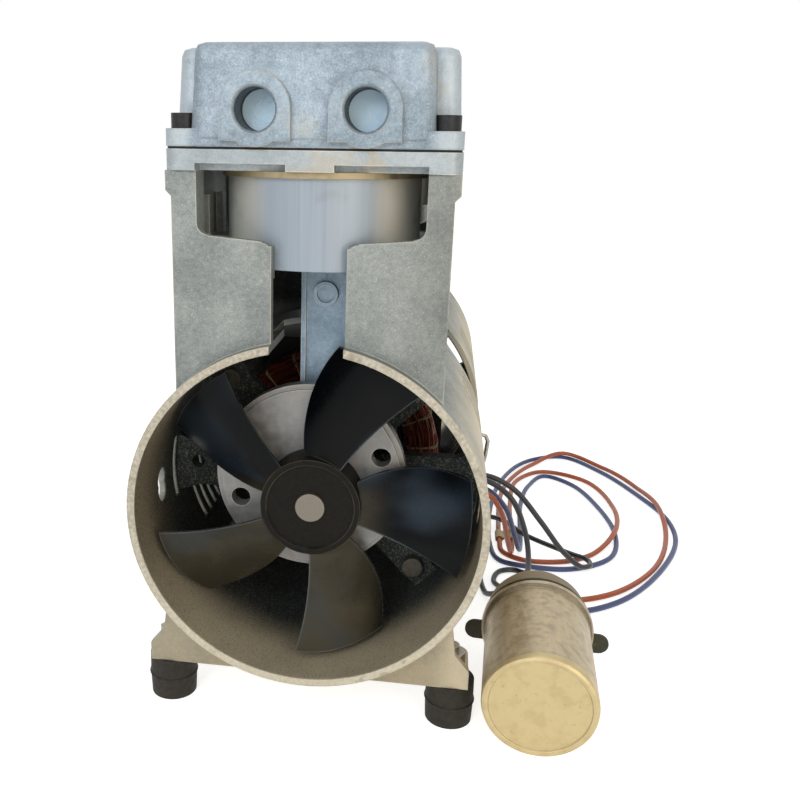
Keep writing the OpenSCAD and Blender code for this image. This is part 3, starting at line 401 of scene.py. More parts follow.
def makeDiscMetal():
    look = discLook
    material, tree, shader = newMaterial("machinedDisc", 0.35, 0.42)
    split = splitPlace(tree)
    scratches = noise(tree, 1, 2, squeezed(tree, look["turning"]), 0.6)
    mottled = noise(tree, 260, 4)
    colour = blendColour(tree, mottled, look["dark"], look["light"])
    colour = tint(tree, colour, look["scratch"], ramp(tree, scratches, 0.6, 0.72), 0.4)
    slope = math2(tree, "SUBTRACT", split[2], times(tree, split[0], look["rustSlope"]))
    stains = times(tree, patches(tree, 70, 0.6, 0.2), ramp(tree, slope, *look["rustFrom"]))
    colour = tint(tree, colour, look["rust"], stains, 0.8)
    # painted highlight along the edges
    colour = tint(tree, colour, look["edge"], edges(tree, 0.0009))
    setSurface(tree, shader, colour, ramp(tree, mottled, 0.3, 0.7, 0.34, 0.5), scratches,
               look["scratchDepth"], 0.5)
    return material


def makeSteel(name, dark, light, roughness=0.35, grainScale=500, metallic=0.85, spots="#6b645a",
              spotCover=0.2):
    material, tree, shader = newMaterial(name, metallic, roughness)
    grain = noise(tree, grainScale, 3)
    colour = blendColour(tree, grain, dark, light)
    colour = tint(tree, colour, spots, patches(tree, grainScale * 0.35, spotCover), 0.6)
    # painted highlight along the edges
    colour = tint(tree, colour, light, edges(tree, 0.0004), 0.7)
    setSurface(tree, shader, colour, ramp(tree, grain, 0.3, 0.7, roughness - 0.06, roughness + 0.1), grain,
               0.00003, 0.5)
    return material


shaftLook = {"dark": "#69635a", "light": "#8e877b", "ringScale": 2600, "ringDepth": 0.00004}


# the shaft's end face shows turned rings round its centre
def makeShaftMetal():
    look = shaftLook
    material, tree, shader = newMaterial("turnedShaft", 0.8, 0.36)
    outward = times(tree, fromLine(tree, 0, shaftHeight), look["ringScale"])
    rings = noise(tree, 1, 2, put(tree, "ShaderNodeCombineXYZ", {0: outward}).outputs[0])
    colour = blendColour(tree, rings, look["dark"], look["light"])
    setSurface(tree, shader, colour, ramp(tree, rings, 0.3, 0.7, 0.3, 0.45), rings, look["ringDepth"], 0.5)
    return material


# the capacitor's place and sizes in millimetres, as in the part's source
canPlace = {"x": 93.5, "y": -146.2, "turn": math.radians(-3.8), "radius": 22.5, "rim": 24.2, "length": 58.7,
            "cover": 20}
canLook = {"body": "#b3a284", "light": "#d6c6a6", "smudge": "#8b7c63", "speck": "#5e5646",
           "mottle": "#857a64", "grooveShade": "#453f33", "edge": "#e6dcc4", "disc": "#cfbd8f",
           "discSmudge": "#bda67a", "discMottle": "#b59e72", "discSpeck": "#8f7c5c",
           "discEnd": (-0.1428, -0.1434), "grooveAt": 0.0545, "grooveHalf": (0.0009, 0.0003),
           "brushing": (420, 40, 420), "brushDepth": 0.00005}


# distance along the can from its disc
def alongCan(tree, split):
    turn = canPlace["turn"]
    y = math2(tree, "ADD", split[1], -canPlace["y"] / 1000)
    x = math2(tree, "SUBTRACT", split[0], canPlace["x"] / 1000)
    return math2(tree, "SUBTRACT", times(tree, y, math.cos(turn)), times(tree, x, math.sin(turn)))


def makeCanMetal():
    look = canLook
    material, tree, shader = newMaterial("tinnedCan", 0.55, 0.42)
    split = splitPlace(tree)
    brushed = noise(tree, 1, 3, squeezed(tree, look["brushing"]))
    specks = patches(tree, 700, 0.2, 0.08)
    smudges = patches(tree, 50, 0.4, 0.25)
    colour = blendColour(tree, brushed, look["body"], look["light"])
    colour = tint(tree, colour, look["smudge"], smudges, 0.35)
    colour = tint(tree, colour, look["speck"], specks, 0.4)
    colour = tint(tree, colour, look["mottle"], ramp(tree, noise(tree, 240, 5), 0.42, 0.68), 0.45)
    # painted shade in the groove by the can's far rim
    fromGroove = math2(tree, "ABSOLUTE", math2(tree, "SUBTRACT", alongCan(tree, split), look["grooveAt"]))
    colour = tint(tree, colour, look["grooveShade"], ramp(tree, fromGroove, *look["grooveHalf"]), 0.75)
    disc = tint(tree, look["disc"], look["discSmudge"], smudges, 0.55)
    disc = tint(tree, disc, look["discMottle"], ramp(tree, noise(tree, 160, 5), 0.45, 0.7), 0.4)
    disc = tint(tree, disc, look["discSpeck"], specks, 0.35)
    colour = blendColour(tree, ramp(tree, split[1], *look["discEnd"]), colour, disc)
    # painted highlight along the edges
    colour = tint(tree, colour, look["edge"], edges(tree, 0.0008), 0.5)
    setSurface(tree, shader, colour, ramp(tree, brushed, 0.3, 0.7, 0.36, 0.52), brushed,
               look["brushDepth"], 0.5)
    return material


# plastics, rubber and varnish
fanLook = {
    "blade": "#05070a", "dust": "#39342a", "oliveReflection": "#4f4a3c", "sheen": "#3a4855", "lip": "#7c8387",
    "hub": "#0e0d0b", "hubLight": "#24231f", "hubEdgeHighlight": "#6a6456", "hubRadius": (0.0207, 0.0203),
    "dustHeight": (0.1, 0.05), "oliveHeight": (0.105, 0.09), "oliveSide": (0.035, 0.02),
    "sheenSide": (0, 0.03), "streakScale": (2.2, 26, 20), "swirlScale": 26, "grainScale": 700,
    "bumpDepth": 0.0006}


# broad highlights that run round the shaft and change slowly along the blades
def bladeStreaks(tree, split, away):
    look = fanLook
    angle = math2(tree, "ARCTAN2", math2(tree, "SUBTRACT", split[2], shaftHeight), split[0])
    scaled = [times(tree, value, scale) for value, scale in zip((angle, away, split[1]), look["streakScale"])]
    aroundShaft = put(tree, "ShaderNodeCombineXYZ", dict(enumerate(scaled))).outputs[0]
    return times(tree, ramp(tree, noise(tree, 1.1, 1, aroundShaft), 0.48, 0.75),
                 ramp(tree, split[0], *look["sheenSide"], 0.25, 0.75))


def makeFanPlastic():
    look = fanLook
    material, tree, shader = newMaterial("glossFan", 0.0, 0.28, Coat_Weight=0.03, Coat_Roughness=0.15,
                                         Specular_IOR_Level=0.1)
    away = fromLine(tree, 0, shaftHeight)
    split = splitPlace(tree)
    onHub = ramp(tree, away, *look["hubRadius"])
    swirl = noise(tree, look["swirlScale"], 4, distortion=0.6)
    fine = noise(tree, look["grainScale"], 3)
    # dust and a painted warm reflection, stronger on the lower blades
    dustAndWarmReflection = times(tree, ramp(tree, swirl, 0.45, 0.75), ramp(tree, split[2], *look["dustHeight"], 0.1, 1))
    colour = tint(tree, look["blade"], look["dust"], dustAndWarmReflection, 0.75)
    # painted olive reflection on the lower left blades
    oliveReflection = times(tree, ramp(tree, split[2], *look["oliveHeight"]), ramp(tree, split[0], *look["oliveSide"]))
    colour = tint(tree, colour, look["oliveReflection"], oliveReflection, ramp(tree, swirl, 0.35, 0.6, 0.45, 0.8))
    colour = tint(tree, colour, look["sheen"], bladeStreaks(tree, split, away))
    # painted highlight along the blades' rounded edges
    colour = tint(tree, colour, look["lip"], edges(tree, 0.0012, 18), 0.7)
    hubTone = blendColour(tree, fine, look["hub"], look["hubLight"])
    # painted highlight along the hub's edges
    hubTone = tint(tree, hubTone, look["hubEdgeHighlight"], edges(tree, 0.0007), 0.8)
    colour = blendColour(tree, onHub, colour, hubTone)
    roughness = ramp(tree, math2(tree, "ADD", swirl, times(tree, fine, 0.25)), 0.4, 0.9, 0.2, 0.42)
    roughness = math2(tree, "ADD", roughness, times(tree, onHub, 0.25))
    setSurface(tree, shader, colour, roughness, math2(tree, "ADD", swirl, times(tree, fine, 0.05)),
               look["bumpDepth"], 0.25)
    return material


rubberLook = {"dust": "#574f40", "seam": "#0d0b08", "seamHalf": (0.0007, 0.0003), "grainDepth": 0.0001}


def makeRubber(name, dark, light, roughness=0.75, scale=500, seamAt=None):
    material, tree, shader = newMaterial(name, 0.0, roughness)
    grain = noise(tree, scale, 3)
    colour = blendColour(tree, grain, dark, light)
    colour = tint(tree, colour, rubberLook["dust"], patches(tree, 90, 0.35, 0.3), 0.35)
    if seamAt:
        gap = math2(tree, "ABSOLUTE", math2(tree, "SUBTRACT", splitPlace(tree)[2], seamAt))
        colour = tint(tree, colour, rubberLook["seam"], ramp(tree, gap, *rubberLook["seamHalf"]), 0.7)
    setSurface(tree, shader, colour, ramp(tree, grain, 0.3, 0.7, roughness - 0.08, roughness + 0.08), grain,
               rubberLook["grainDepth"], 0.6)
    return material


def makeInsulation(name, dark, light, roughness=0.38):
    material, tree, shader = newMaterial(name, 0.0, roughness, Coat_Weight=0.15, Coat_Roughness=0.3)
    mottled = noise(tree, 90, 3)
    colour = blendColour(tree, mottled, dark, light)
    setSurface(tree, shader, colour, ramp(tree, mottled, 0.3, 0.7, roughness - 0.06, roughness + 0.1),
               noise(tree, 900, 2), 0.00004, 0.4)
    return material


copperLook = {"dark": "#55200f", "light": "#b4583a", "varnish": "#43170d", "strandDepth": 0.0001}


def makeCopper():
    look = copperLook
    material, tree, shader = newMaterial("varnishedCopper", 0.45, 0.34, Coat_Weight=0.4, Coat_Roughness=0.25)
    strands = noise(tree, 320, 3)
    colour = blendColour(tree, strands, look["dark"], look["light"])
    colour = tint(tree, colour, look["varnish"], patches(tree, 60, 0.5, 0.3), 0.6)
    setSurface(tree, shader, colour, ramp(tree, strands, 0.3, 0.7, 0.28, 0.5), strands,
               look["strandDepth"], 0.4)
    return material


clothLook = {"dirt": "#8e7a58", "weaveDepth": 0.0001}


def makeCloth(name, dark, light, scale=900):
    material, tree, shader = newMaterial(name, 0.0, 0.85)
    weave = put(tree, "ShaderNodeTexWave", {"Vector": objectPlace(tree), "Scale": scale, "Distortion": 1.5,
                "Detail": 2.0}, wave_type="BANDS", bands_direction="DIAGONAL").outputs["Fac"]
    colour = blendColour(tree, weave, dark, light)
    colour = tint(tree, colour, clothLook["dirt"], patches(tree, 120, 0.35, 0.2), 0.4)
    setSurface(tree, shader, colour, None, weave, clothLook["weaveDepth"], 0.5)
    return material


laminationLook = {"dark": "#1f1d1b", "light": "#4a4642", "rust": "#4a3526", "face": "#2b2825",
                  "faceFrom": (0.0415, 0.0419), "bandScale": 320, "bandDepth": 0.0002}


# dark sheets seen edge on, bands across the shaft's direction
def makeLaminations():
    look = laminationLook
    material, tree, shader = newMaterial("laminations", 0.5, 0.5)
    bands = put(tree, "ShaderNodeTexWave", {"Vector": objectPlace(tree), "Scale": look["bandScale"],
                "Distortion": 0.4, "Detail": 1.0}, wave_type="BANDS", bands_direction="Y").outputs["Fac"]
    colour = blendColour(tree, bands, look["dark"], look["light"])
    colour = tint(tree, colour, look["rust"], patches(tree, 50, 0.4, 0.2), 0.5)
    colour = blendColour(tree, ramp(tree, farOut(tree), *look["faceFrom"]), colour, look["face"])
    setSurface(tree, shader, colour, None, bands, look["bandDepth"], 0.5)
    return material


plated = makeSteel("platedSteel", "#8d8a80", "#c3bfb2")
copper = makeCopper()
lacingCord = makeCloth("lacingCord", "#b39a72", "#e2d3ae", 1500)
tagTape = makeCloth("tape", "#cdb78c", "#ecdfc2")
footSeam = 0.0095  # height of the parting line round each foot

dress(makeHousingMetal(), *bothEnds("housing"))
dress(makeHeadMetal(), *bothEnds("head"))
dress(makePlateMetal(), *bothEnds("valve_plate"))
dress(makeSleeveMetal(), *bothEnds("sleeve"))
dress(makeSteel("brassRing", "#83765c", "#c4b28c", 0.45, 350, 0.5), *bothEnds("sleeve_seal"))
dress(makeRubber("gasketSheet", "#151515", "#2a2a28"), *bothEnds("head_gasket"))
dress(makeSteel("blackOxide", "#141416", "#3a3a3c", 0.42, 700, 0.6, "#5a5044", 0.12),
      *bothEnds("head_screws"))
dress(makeSteel("springSteel", "#8f8f92", "#bcbcc0", 0.3), *bothEnds("intake_reed", "exhaust_reed"))
dress(makeFanPlastic(), *bothEnds("fan"))
dress(makeDiscMetal(), *bothEnds("counterweight"))
dress(makeRodMetal(), *bothEnds("connecting_rod", "cup_retainer"), "rotor_end_rings")
dress(makeSteel("bearingSteel", "#8a8a8c", "#b9b9bb", 0.25), *bothEnds("rod_bearing", "main_bearing"))
dress(makeRubber("sealCup", "#2a1c12", "#4a3322", 0.6), *bothEnds("piston_cup"))
dress(plated, *bothEnds("retainer_screw"), "foot_studs", "foot_nuts", "foot_inserts", "lead_clip")
dress(makeSteel("boltSteel", "#45433e", "#77736a", 0.42, 500, 0.7), "through_bolts", "through_bolt_nuts")
dress(makeShaftMetal(), "crankshaft")
dress(makeLaminations(), "rotor_core", "stator_core")
dress(makeRubber("footRubber", "#17130c", "#282318", seamAt=footSeam), *bothEnds("left_foot", "right_foot"))
dress(makeCanMetal(), "capacitor_can")
dress(makeRubber("coverPlastic", "#84755c", "#a8977a", 0.55), "capacitor_cover")
dress(makeSteel("clampSteel", "#24241a", "#474632", 0.5, 400, 0.4), "capacitor_clamp")
dress(makeRubber("bushRubber", "#131310", "#272622"), "lead_bush")
print("materials are on the castings and the small parts")


lay, over = 1.7, 5.2  # heights in millimetres of a lead on the floor, and of one across another


# tubes along the given lines, as one piece
def curvePiece(name, splines, radius, material, closed=False, sides=1):
    curve = bpy.data.curves.new(name, "CURVE")
    curve.dimensions = "3D"
    curve.bevel_depth = radius
    curve.bevel_resolution = sides
    curve.use_fill_caps = not closed
    for points in splines:
        spline = curve.splines.new("POLY")
        spline.points.add(len(points) - 1)
        for slot, point in zip(spline.points, points):
            slot.co = (*point, 1)
        spline.use_cyclic_u = closed
    curve.materials.append(material)
    piece = bpy.data.objects.new(name, curve)
    bpy.context.scene.collection.objects.link(piece)
    return piece


# a smooth line through points given in millimetres, which never dips under the floor
def smoothRoute(points, steps=8):
    chosen = [Vector(p) / 1000 for p in points]
    chosen = [2 * chosen[0] - chosen[1], *chosen, 2 * chosen[-1] - chosen[-2]]
    line = []
    for i in range(1, len(chosen) - 2):
        a, b, c, d = chosen[i - 1:i + 3]
        spans = [max((q - p).length, 1e-6) ** 0.5 for p, q in ((a, b), (b, c), (c, d))]
        t1, t2, t3 = spans[0], spans[0] + spans[1], sum(spans)
        for k in range(steps):
            t = t1 + (t2 - t1) * k / steps
            p = a * (t1 - t) / t1 + b * t / t1
            q = b * (t2 - t) / (t2 - t1) + c * (t - t1) / (t2 - t1)
            r = c * (t3 - t) / (t3 - t2) + d * (t - t2) / (t3 - t2)
            first = p * (t2 - t) / t2 + q * t / t2
            second = q * (t3 - t) / (t3 - t1) + r * (t - t1) / (t3 - t1)
            line.append(first * (t2 - t) / (t2 - t1) + second * (t - t1) / (t2 - t1))
            line[-1].z = max(line[-1].z, lay / 1000)
    return line + [chosen[-2]]


def meshObject(name, shape, material):
    bmesh.ops.recalc_face_normals(shape, faces=shape.faces)
    mesh = bpy.data.meshes.new(name)
    shape.to_mesh(mesh)
    shape.free()
    mesh.materials.append(material)
    piece = bpy.data.objects.new(name, mesh)
    bpy.context.scene.collection.objects.link(piece)
    return piece


def lineLength(line):
    return sum((q - p).length for p, q in zip(line, line[1:]))


# end windings: a bundle of fine wires, laced with cord
windingLook = {"inner": 0.0352, "outer": 0.0488, "start": 0.0424, "depth": 0.0155, "squareness": 0.55,
               "rings": 96, "steps": 72, "wireRadius": 0.00042, "stagger": 0.0006, "wobble": 0.00045,
               "waves": (7, 13), "heartRadius": 0.0058, "heartSegments": 16, "laces": 20,
               "laceRadius": 0.0004, "laceSteps": 28, "laceShift": 0.3, "laceLean": 0.012,
               "laceOut": (1.06, 1.05)}
bundleMiddle = (windingLook["inner"] + windingLook["outer"]) / 2
bundleDepth = windingLook["start"] + windingLook["depth"] / 2


# radius and depth of a point on the bundle's squarish section
def bundleSection(turn):
    look = windingLook
    halfWide = (look["outer"] - look["inner"]) / 2
    c, s = math.cos(turn), math.sin(turn)
    return (bundleMiddle + halfWide * math.copysign(abs(c) ** look["squareness"], c),
            bundleDepth + look["depth"] / 2 * math.copysign(abs(s) ** look["squareness"], s))


def ringPoint(radius, along, angle, sign):
    return (radius * math.cos(angle), sign * along, shaftHeight + radius * math.sin(angle))


# each wire is one ring, a little uneven and drawn in between the laces
def windWires(sign):
    look = windingLook
    draw = random.Random(7 if sign > 0 else 11)
    slow, fast = look["waves"]
    wires = []
    for k in range(look["rings"]):
        radius, along = bundleSection(2 * math.pi * k / look["rings"])
        inward = look["stagger"] if k % 2 else 0.0
        radius += inward * (1 if radius < bundleMiddle else -1)
        phases = [draw.uniform(0, 2 * math.pi) for _ in range(4)]
        ring = []
        for step in range(look["steps"]):
            angle = 2 * math.pi * step / look["steps"]
            pinch = look["wobble"] * math.sin(look["laces"] / 2 * angle + phases[0])
            shift = math.sin(slow * angle + phases[1]) + math.sin(fast * angle + phases[2]) / 2
            ring.append(ringPoint(radius + pinch, along + look["wobble"] * shift, angle, -sign))
        wires.append(ring)
    return wires


# pairs of cord loops round the bundle
def windLaces(sign):
    look = windingLook
    widen, deepen = look["laceOut"]
    loops = []
    for k in range(look["laces"]):
        angle = 2 * math.pi * (k + look["laceShift"]) / look["laces"]
        for lean in (-look["laceLean"], look["laceLean"]):
            loop = []
            for step in range(look["laceSteps"]):
                turn = 2 * math.pi * step / look["laceSteps"]
                radius, along = bundleSection(turn)
                radius = bundleMiddle + (radius - bundleMiddle) * widen
                along = bundleDepth + (along - bundleDepth) * deepen
                loop.append(ringPoint(radius, along, angle + lean * math.cos(turn), -sign))
            loops.append(loop)
    return loops


def makeWinding(end, sign):
    look = windingLook
    coil = curvePiece(end + "_winding_wires", windWires(sign), look["wireRadius"], copper, True, 0)
    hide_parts(end + "_end_winding")
    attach(coil, "frame")

    heart = bmesh.new()  # dark inside, so nothing shows between the wires
    centre = Vector((bundleMiddle, -sign * bundleDepth, shaftHeight))
    bmesh.ops.create_circle(heart, cap_ends=False, segments=look["heartSegments"], radius=look["heartRadius"],
                            matrix=Matrix.Translation(centre))
    bmesh.ops.spin(heart, geom=heart.verts[:] + heart.edges[:], cent=(0, 0, shaftHeight), axis=(0, 1, 0),
                   angle=2 * math.pi, steps=look["steps"], use_merge=True)
    core = meshObject(end + "_winding_heart", heart, copper)
    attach(core, "frame")

    laces = curvePiece(end + "_winding_lacing", windLaces(sign), look["laceRadius"], lacingCord, True, 1)
    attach(laces, "frame")


for end, sign in ends:
    makeWinding(end, sign)
print("windings are wound and laced")


# leads: the same points as in the part's source, in millimetres
bushFace, bushMiddle = 70, 58
high, low = bushMiddle + 3.5, bushMiddle - 3.5  # the two rows of holes in the bush
tagX, tagY, tagZ = 89.7, 51, 2.6  # where the flag of tape is on the orange lead
leadRadius = 0.0015
leadLook = {
    "orange": {"node": "lead_orange", "slot": "orange_insulation", "length": 0.938, "farEnd": "connector",
               "stiffness": "medium", "route": [
                   (bushFace, -3.5, low), (73, -3.5, low), (79, -3, 52), (86, 3, 40), (91, 18, 20),
                   (95, 32, 5), (97, 48, lay), (100, 115, lay), (108, 160, lay), (128, 181, lay),
                   (155, 168, lay), (167, 125, lay), (160, 72, over), (143, 44, lay), (125, 31, lay),
                   (102, 29, lay), (91, 38, lay), (tagX, tagY, tagZ), (tagX + 0.2, tagY + 15, tagZ),
                   (98, 145, lay), (122, 196, lay), (146, 216, over), (172, 199, lay), (190, 160, lay),
                   (195, 119, over), (192, 80, lay), (176, 33, lay), (150, -1, lay), (128, -14, lay),
                   (118, -14, lay)]},
    "blue": {"node": "lead_blue", "slot": "blue_insulation", "length": 0.939, "farEnd": "connector",
             "stiffness": "medium", "route": [
                 (bushFace, 3.5, low), (73, 3.5, low), (79, 4, 52), (88, 10, 41), (95, 23, 21), (100, 36, 5),
                 (102, 50, lay), (107, 115, lay), (115, 150, lay), (128, 172, lay), (145, 158, lay),
                 (157, 120, lay), (161, 75, lay), (152, 40, lay), (128, 22, lay), (104, 21, lay),
                 (89, 26, lay), (84, 45, lay), (94, 148, lay), (119, 203, lay), (146, 217, lay),
                 (170, 188, lay), (188, 145, lay), (198, 108, lay), (196, 72, lay), (176, 25, lay),
                 (150, -11, lay), (128, -26, lay), (118, -26, lay)]},
    "blackLong": {"node": "capacitor_lead_long", "slot": "black_insulation", "length": 0.349,
                  "farEnd": "object", "stiffness": "limp", "coverPoint": (-3, 3), "route": [
                      (bushFace, 3.5, high), (74, 3.5, high), (81, 3.5, 60), (92, 3, 54), (107, 6, 36),
                      (121, 11, 17), (132, 15, 7), (138, 21, 5.5), (137, 29, over), (129, 35, over),
                      (104, 52, 7.6), (94, 66, 8.8), (84, 78, 6.4), (76, 81, 2.5), (73, 70, lay),
                      (76, 20, lay), (79, -15, lay), (87, -28, 10), (95, -44, 23)]},
    "blackShort": {"node": "capacitor_lead_short", "slot": "black_insulation", "length": 0.184,
                   "farEnd": "object", "stiffness": "limp", "coverPoint": (3, -3), "route": [
                       (bushFace, -3.5, high), (74, -3.5, high), (81, -4, 59), (90, -6, 52), (98, -3, 34),
                       (102, 3, 14), (102, 10, 3), (96, 15, lay), (88, 12, lay), (84, 0, lay),
                       (88, -14, 5), (96, -30, 15), (101, -46, 20)]},
}


# where a lead meets the back of the capacitor's cover
def atCover(x, z, back):
    tilt = math.asin((canPlace["rim"] - canPlace["radius"]) / canPlace["length"])
    d = canPlace["length"] + canPlace["cover"] + back
    c, n, turn = math.cos(tilt), math.sin(tilt), canPlace["turn"]
    away = d * c - z * n
    return (canPlace["x"] + x * math.cos(turn) - away * math.sin(turn),
            canPlace["y"] + x * math.sin(turn) + away * math.cos(turn),
            canPlace["radius"] / c + d * n + z * c)


insulation = {"orange_insulation": makeInsulation("orangeInsulation", "#a54a24", "#cd6c3b"),
              "blue_insulation": makeInsulation("blueInsulation", "#313c63", "#4d5f95"),
              "black_insulation": makeInsulation("blackInsulation", "#121316", "#2a2b30", 0.32)}


def meshPiece(name, shape, material, body="frame"):
    bmesh.ops.remove_doubles(shape, verts=shape.verts, dist=1e-6)
    piece = meshObject(name, shape, material)
    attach(piece, body)
    return piece


def slab(shape, place, size):
    bmesh.ops.create_cube(shape, size=1, matrix=Matrix.Translation(place) @ Matrix.Diagonal((*size, 1)))


# a round bar along x
def bar(shape, place, radius, length, segments):
    bmesh.ops.create_cone(shape, cap_ends=True, segments=segments, radius1=radius, radius2=radius,
                          depth=length,
                          matrix=Matrix.Translation(place) @ Matrix.Rotation(math.radians(90), 4, "Y"))


# push-on terminal: a crimped barrel, then a flat blade socket with rolled sides
terminalLook = {"barrelRadius": 0.0016, "barrelLength": 0.006, "width": 0.0064, "height": 0.0024,
                "length": 0.008, "wall": 0.0004, "roll": 0.0009, "rollUp": 0.8, "bottomShare": 0.8,
                "lipShare": 0.28, "lipAt": 0.2, "lipUp": 1.5}


def makeTerminal(name, end):
    look = terminalLook
    shape = bmesh.new()
    bar(shape, (end.x - look["barrelLength"] / 2, end.y, end.z), look["barrelRadius"],
        look["barrelLength"], 16)
    socketX = end.x - look["barrelLength"] - look["length"] / 2
    floorZ = end.z - look["height"] / 2 + look["wall"] / 2
    slab(shape, (socketX, end.y, floorZ), (look["length"], look["width"] * look["bottomShare"], look["wall"]))
    for side in (-1, 1):
        y = end.y + side * (look["width"] / 2 - look["roll"])
        bar(shape, (socketX, y, floorZ + look["roll"] * look["rollUp"]), look["roll"], look["length"], 14)
        y = end.y + side * look["width"] * look["lipAt"]
        slab(shape, (socketX, y, floorZ + look["roll"] * look["lipUp"]),
             (look["length"], look["width"] * look["lipShare"], look["wall"]))
    return meshPiece(name, shape, plated)


# tape folded round a lead, its two halves stuck together as a flag
tagLook = {"length": 0.01, "flap": 0.0095, "wrap": 0.00195, "thick": 0.00035, "lift": 12, "curl": 0.0012,
           "shift": (0.03, 2.5, 0), "opening": 20, "wrapSteps": 14, "halfGap": 0.00025, "slant": 0.00002,
           "rows": 6, "flapShares": (0.1, 0.3, 0.5, 0.7, 0.85, 1.0)}


def makeTag():
    look = tagLook
    shape = bmesh.new()
    start = (Vector((tagX, tagY, tagZ)) + Vector(look["shift"])) / 1000
    lift = math.radians(look["lift"])
    wrapped = []
    for k in range(look["wrapSteps"] + 1):
        turn = lift + math.radians(look["opening"] + (360 - 2 * look["opening"]) * k / look["wrapSteps"])
        wrapped.append((look["wrap"] * math.cos(turn), look["wrap"] * math.sin(turn)))
    flap = [((look["flap"] * t + look["wrap"]) * math.cos(lift),
             (look["flap"] * t + look["wrap"]) * math.sin(lift) + look["curl"] * t * t)
            for t in look["flapShares"]]
    upper = [(x, z + look["halfGap"]) for x, z in reversed(flap)]
    lower = [(x, z - look["halfGap"]) for x, z in flap]
    row = [shape.verts.new((start.x + x, start.y, start.z + z)) for x, z in upper + wrapped + lower]
    strip = [shape.edges.new(pair) for pair in zip(row, row[1:])]
    for step in range(look["rows"]):
        grown = bmesh.ops.extrude_edge_only(shape, edges=strip)["geom"]
        moved = [v for v in grown if isinstance(v, bmesh.types.BMVert)]
        strip = [e for e in grown if isinstance(e, bmesh.types.BMEdge)]
        bmesh.ops.translate(shape, verts=moved, vec=(look["slant"], look["length"] / look["rows"], 0))
    bmesh.ops.recalc_face_normals(shape, faces=shape.faces)
    bmesh.ops.solidify(shape, geom=shape.faces[:], thickness=look["thick"])
    tag = meshPiece("lead_tag_tape", shape, tagTape)
    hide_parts("lead_tag")
    return tag


for name, lead in leadLook.items():
    points = list(lead["route"])
    if "coverPoint" in lead:
        points += [atCover(*lead["coverPoint"], back) for back in (8, 0)]
    line = smoothRoute(points)
    print(name, "lead is", round(lineLength(line), 4), "m long")
    piece = curvePiece(lead["node"] + "_line", [line], leadRadius, insulation[lead["slot"]], False, 3)
    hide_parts(lead["node"])
    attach(piece, "frame")
    if lead["farEnd"] == "connector":
        makeTerminal(name + "_terminal", line[-1])
    if name == "orange":
        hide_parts("lead_terminals")
        makeTag()
print("leads are laid")


# floor, light and camera
sceneLook = {"floor": "#f4f4f2", "floorLift": 0.72, "sky": 0.34}
lamps = {"key": {"place": (-0.35, -1.3, 0.8), "target": (0, -0.05, 0.12), "size": 0.55, "power": 5.6,
                 "colour": "#f6faff"},
         "fill": {"place": (0.75, -1.2, 0.4), "target": (0, 0, 0.12), "size": 0.8, "power": 4.6,
                  "colour": "#ffefd8"},
         "top": {"place": (0.1, 0.4, 1.4), "target": (0, 0, 0.15), "size": 1.0, "power": 2.6,
                 "colour": "#ffffff"}}


# 1 for the rays that see the background itself or its mirror image
def seenDirectly(tree):
    ray = put(tree, "ShaderNodeLightPath").outputs
    mirrored = math2(tree, "MAXIMUM", ray["Is Glossy Ray"], ray["Is Transmission Ray"])
    return math2(tree, "MAXIMUM", ray["Is Camera Ray"], mirrored)


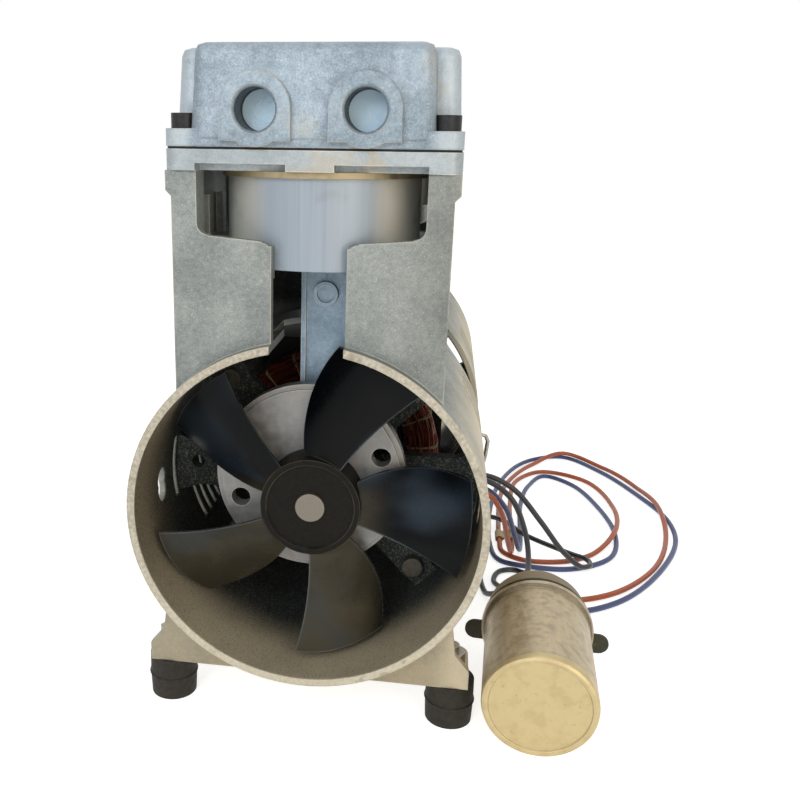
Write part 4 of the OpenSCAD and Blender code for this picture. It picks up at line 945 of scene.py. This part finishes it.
def makeStage():
    bpy.ops.mesh.primitive_plane_add(size=16)
    floor = bpy.context.object
    floor.name = "floor"
    material, tree, shader = newMaterial("paleFloor", 0.0, 0.9)
    shader.inputs["Base Color"].default_value = paint(sceneLook["floor"])
    shader.inputs["Emission Color"].default_value = (1, 1, 1, 1)
    tree.links.new(times(tree, seenDirectly(tree), sceneLook["floorLift"]),
                   shader.inputs["Emission Strength"])
    floor.data.materials.append(material)
    world = bpy.data.worlds.new("softRoom")
    bpy.context.scene.world = world
    world.use_nodes = True
    tree = world.node_tree
    rest = times(tree, seenDirectly(tree), 1 - sceneLook["sky"])
    sky = tree.nodes["Background"]
    sky.inputs["Color"].default_value = (1, 1, 1, 1)
    tree.links.new(math2(tree, "ADD", rest, sceneLook["sky"]), sky.inputs["Strength"])


def addLamp(name, place, target, size, power, colour):
    lamp = bpy.data.lights.new(name, "AREA")
    lamp.shape = "SQUARE"
    lamp.size = size
    lamp.energy = power
    lamp.color = paint(colour)[:3]
    holder = bpy.data.objects.new(name, lamp)
    holder.location = place
    holder.rotation_euler = (Vector(target) - Vector(place)).to_track_quat("-Z", "Y").to_euler()
    bpy.context.scene.collection.objects.link(holder)


makeStage()
for name, lamp in lamps.items():
    addLamp(name, **lamp)

# fitted to the round rims, the screws and the feet in the photo
cameraLook = {"place": (0.04713, -0.45528, 0.23055), "yaw": 8.666, "pitch": 16.117, "roll": 0.79,
              "focalPixels": 893.18, "centre": (304.65, 402.27), "imagePixels": 800, "sensor": 36.0,
              "nearest": 0.01}


def makeCamera():
    look = cameraLook
    yaw, pitch, roll = [math.radians(look[key]) for key in ("yaw", "pitch", "roll")]
    ahead = Vector((-math.sin(yaw) * math.cos(pitch), math.cos(yaw) * math.cos(pitch), -math.sin(pitch)))
    flat = Vector((math.cos(yaw), math.sin(yaw), 0))
    up = flat.cross(ahead)
    right = math.cos(roll) * flat + math.sin(roll) * up
    top = -math.sin(roll) * flat + math.cos(roll) * up
    camera = bpy.data.cameras.new("camera")
    camera.sensor_fit = "HORIZONTAL"
    camera.sensor_width = look["sensor"]
    camera.lens = look["focalPixels"] / look["imagePixels"] * look["sensor"]
    half = look["imagePixels"] / 2
    camera.shift_x = (half - look["centre"][0]) / look["imagePixels"]
    camera.shift_y = (look["centre"][1] - half) / look["imagePixels"]
    camera.clip_start = look["nearest"]
    holder = bpy.data.objects.new("camera", camera)
    turned = Matrix((right, top, -ahead)).transposed().to_4x4()
    holder.matrix_world = Matrix.Translation(look["place"]) @ turned
    bpy.context.scene.collection.objects.link(holder)
    bpy.context.scene.camera = holder


makeCamera()
bpy.context.scene.view_settings.view_transform = "Standard"
print("stage, lamps and camera are set")
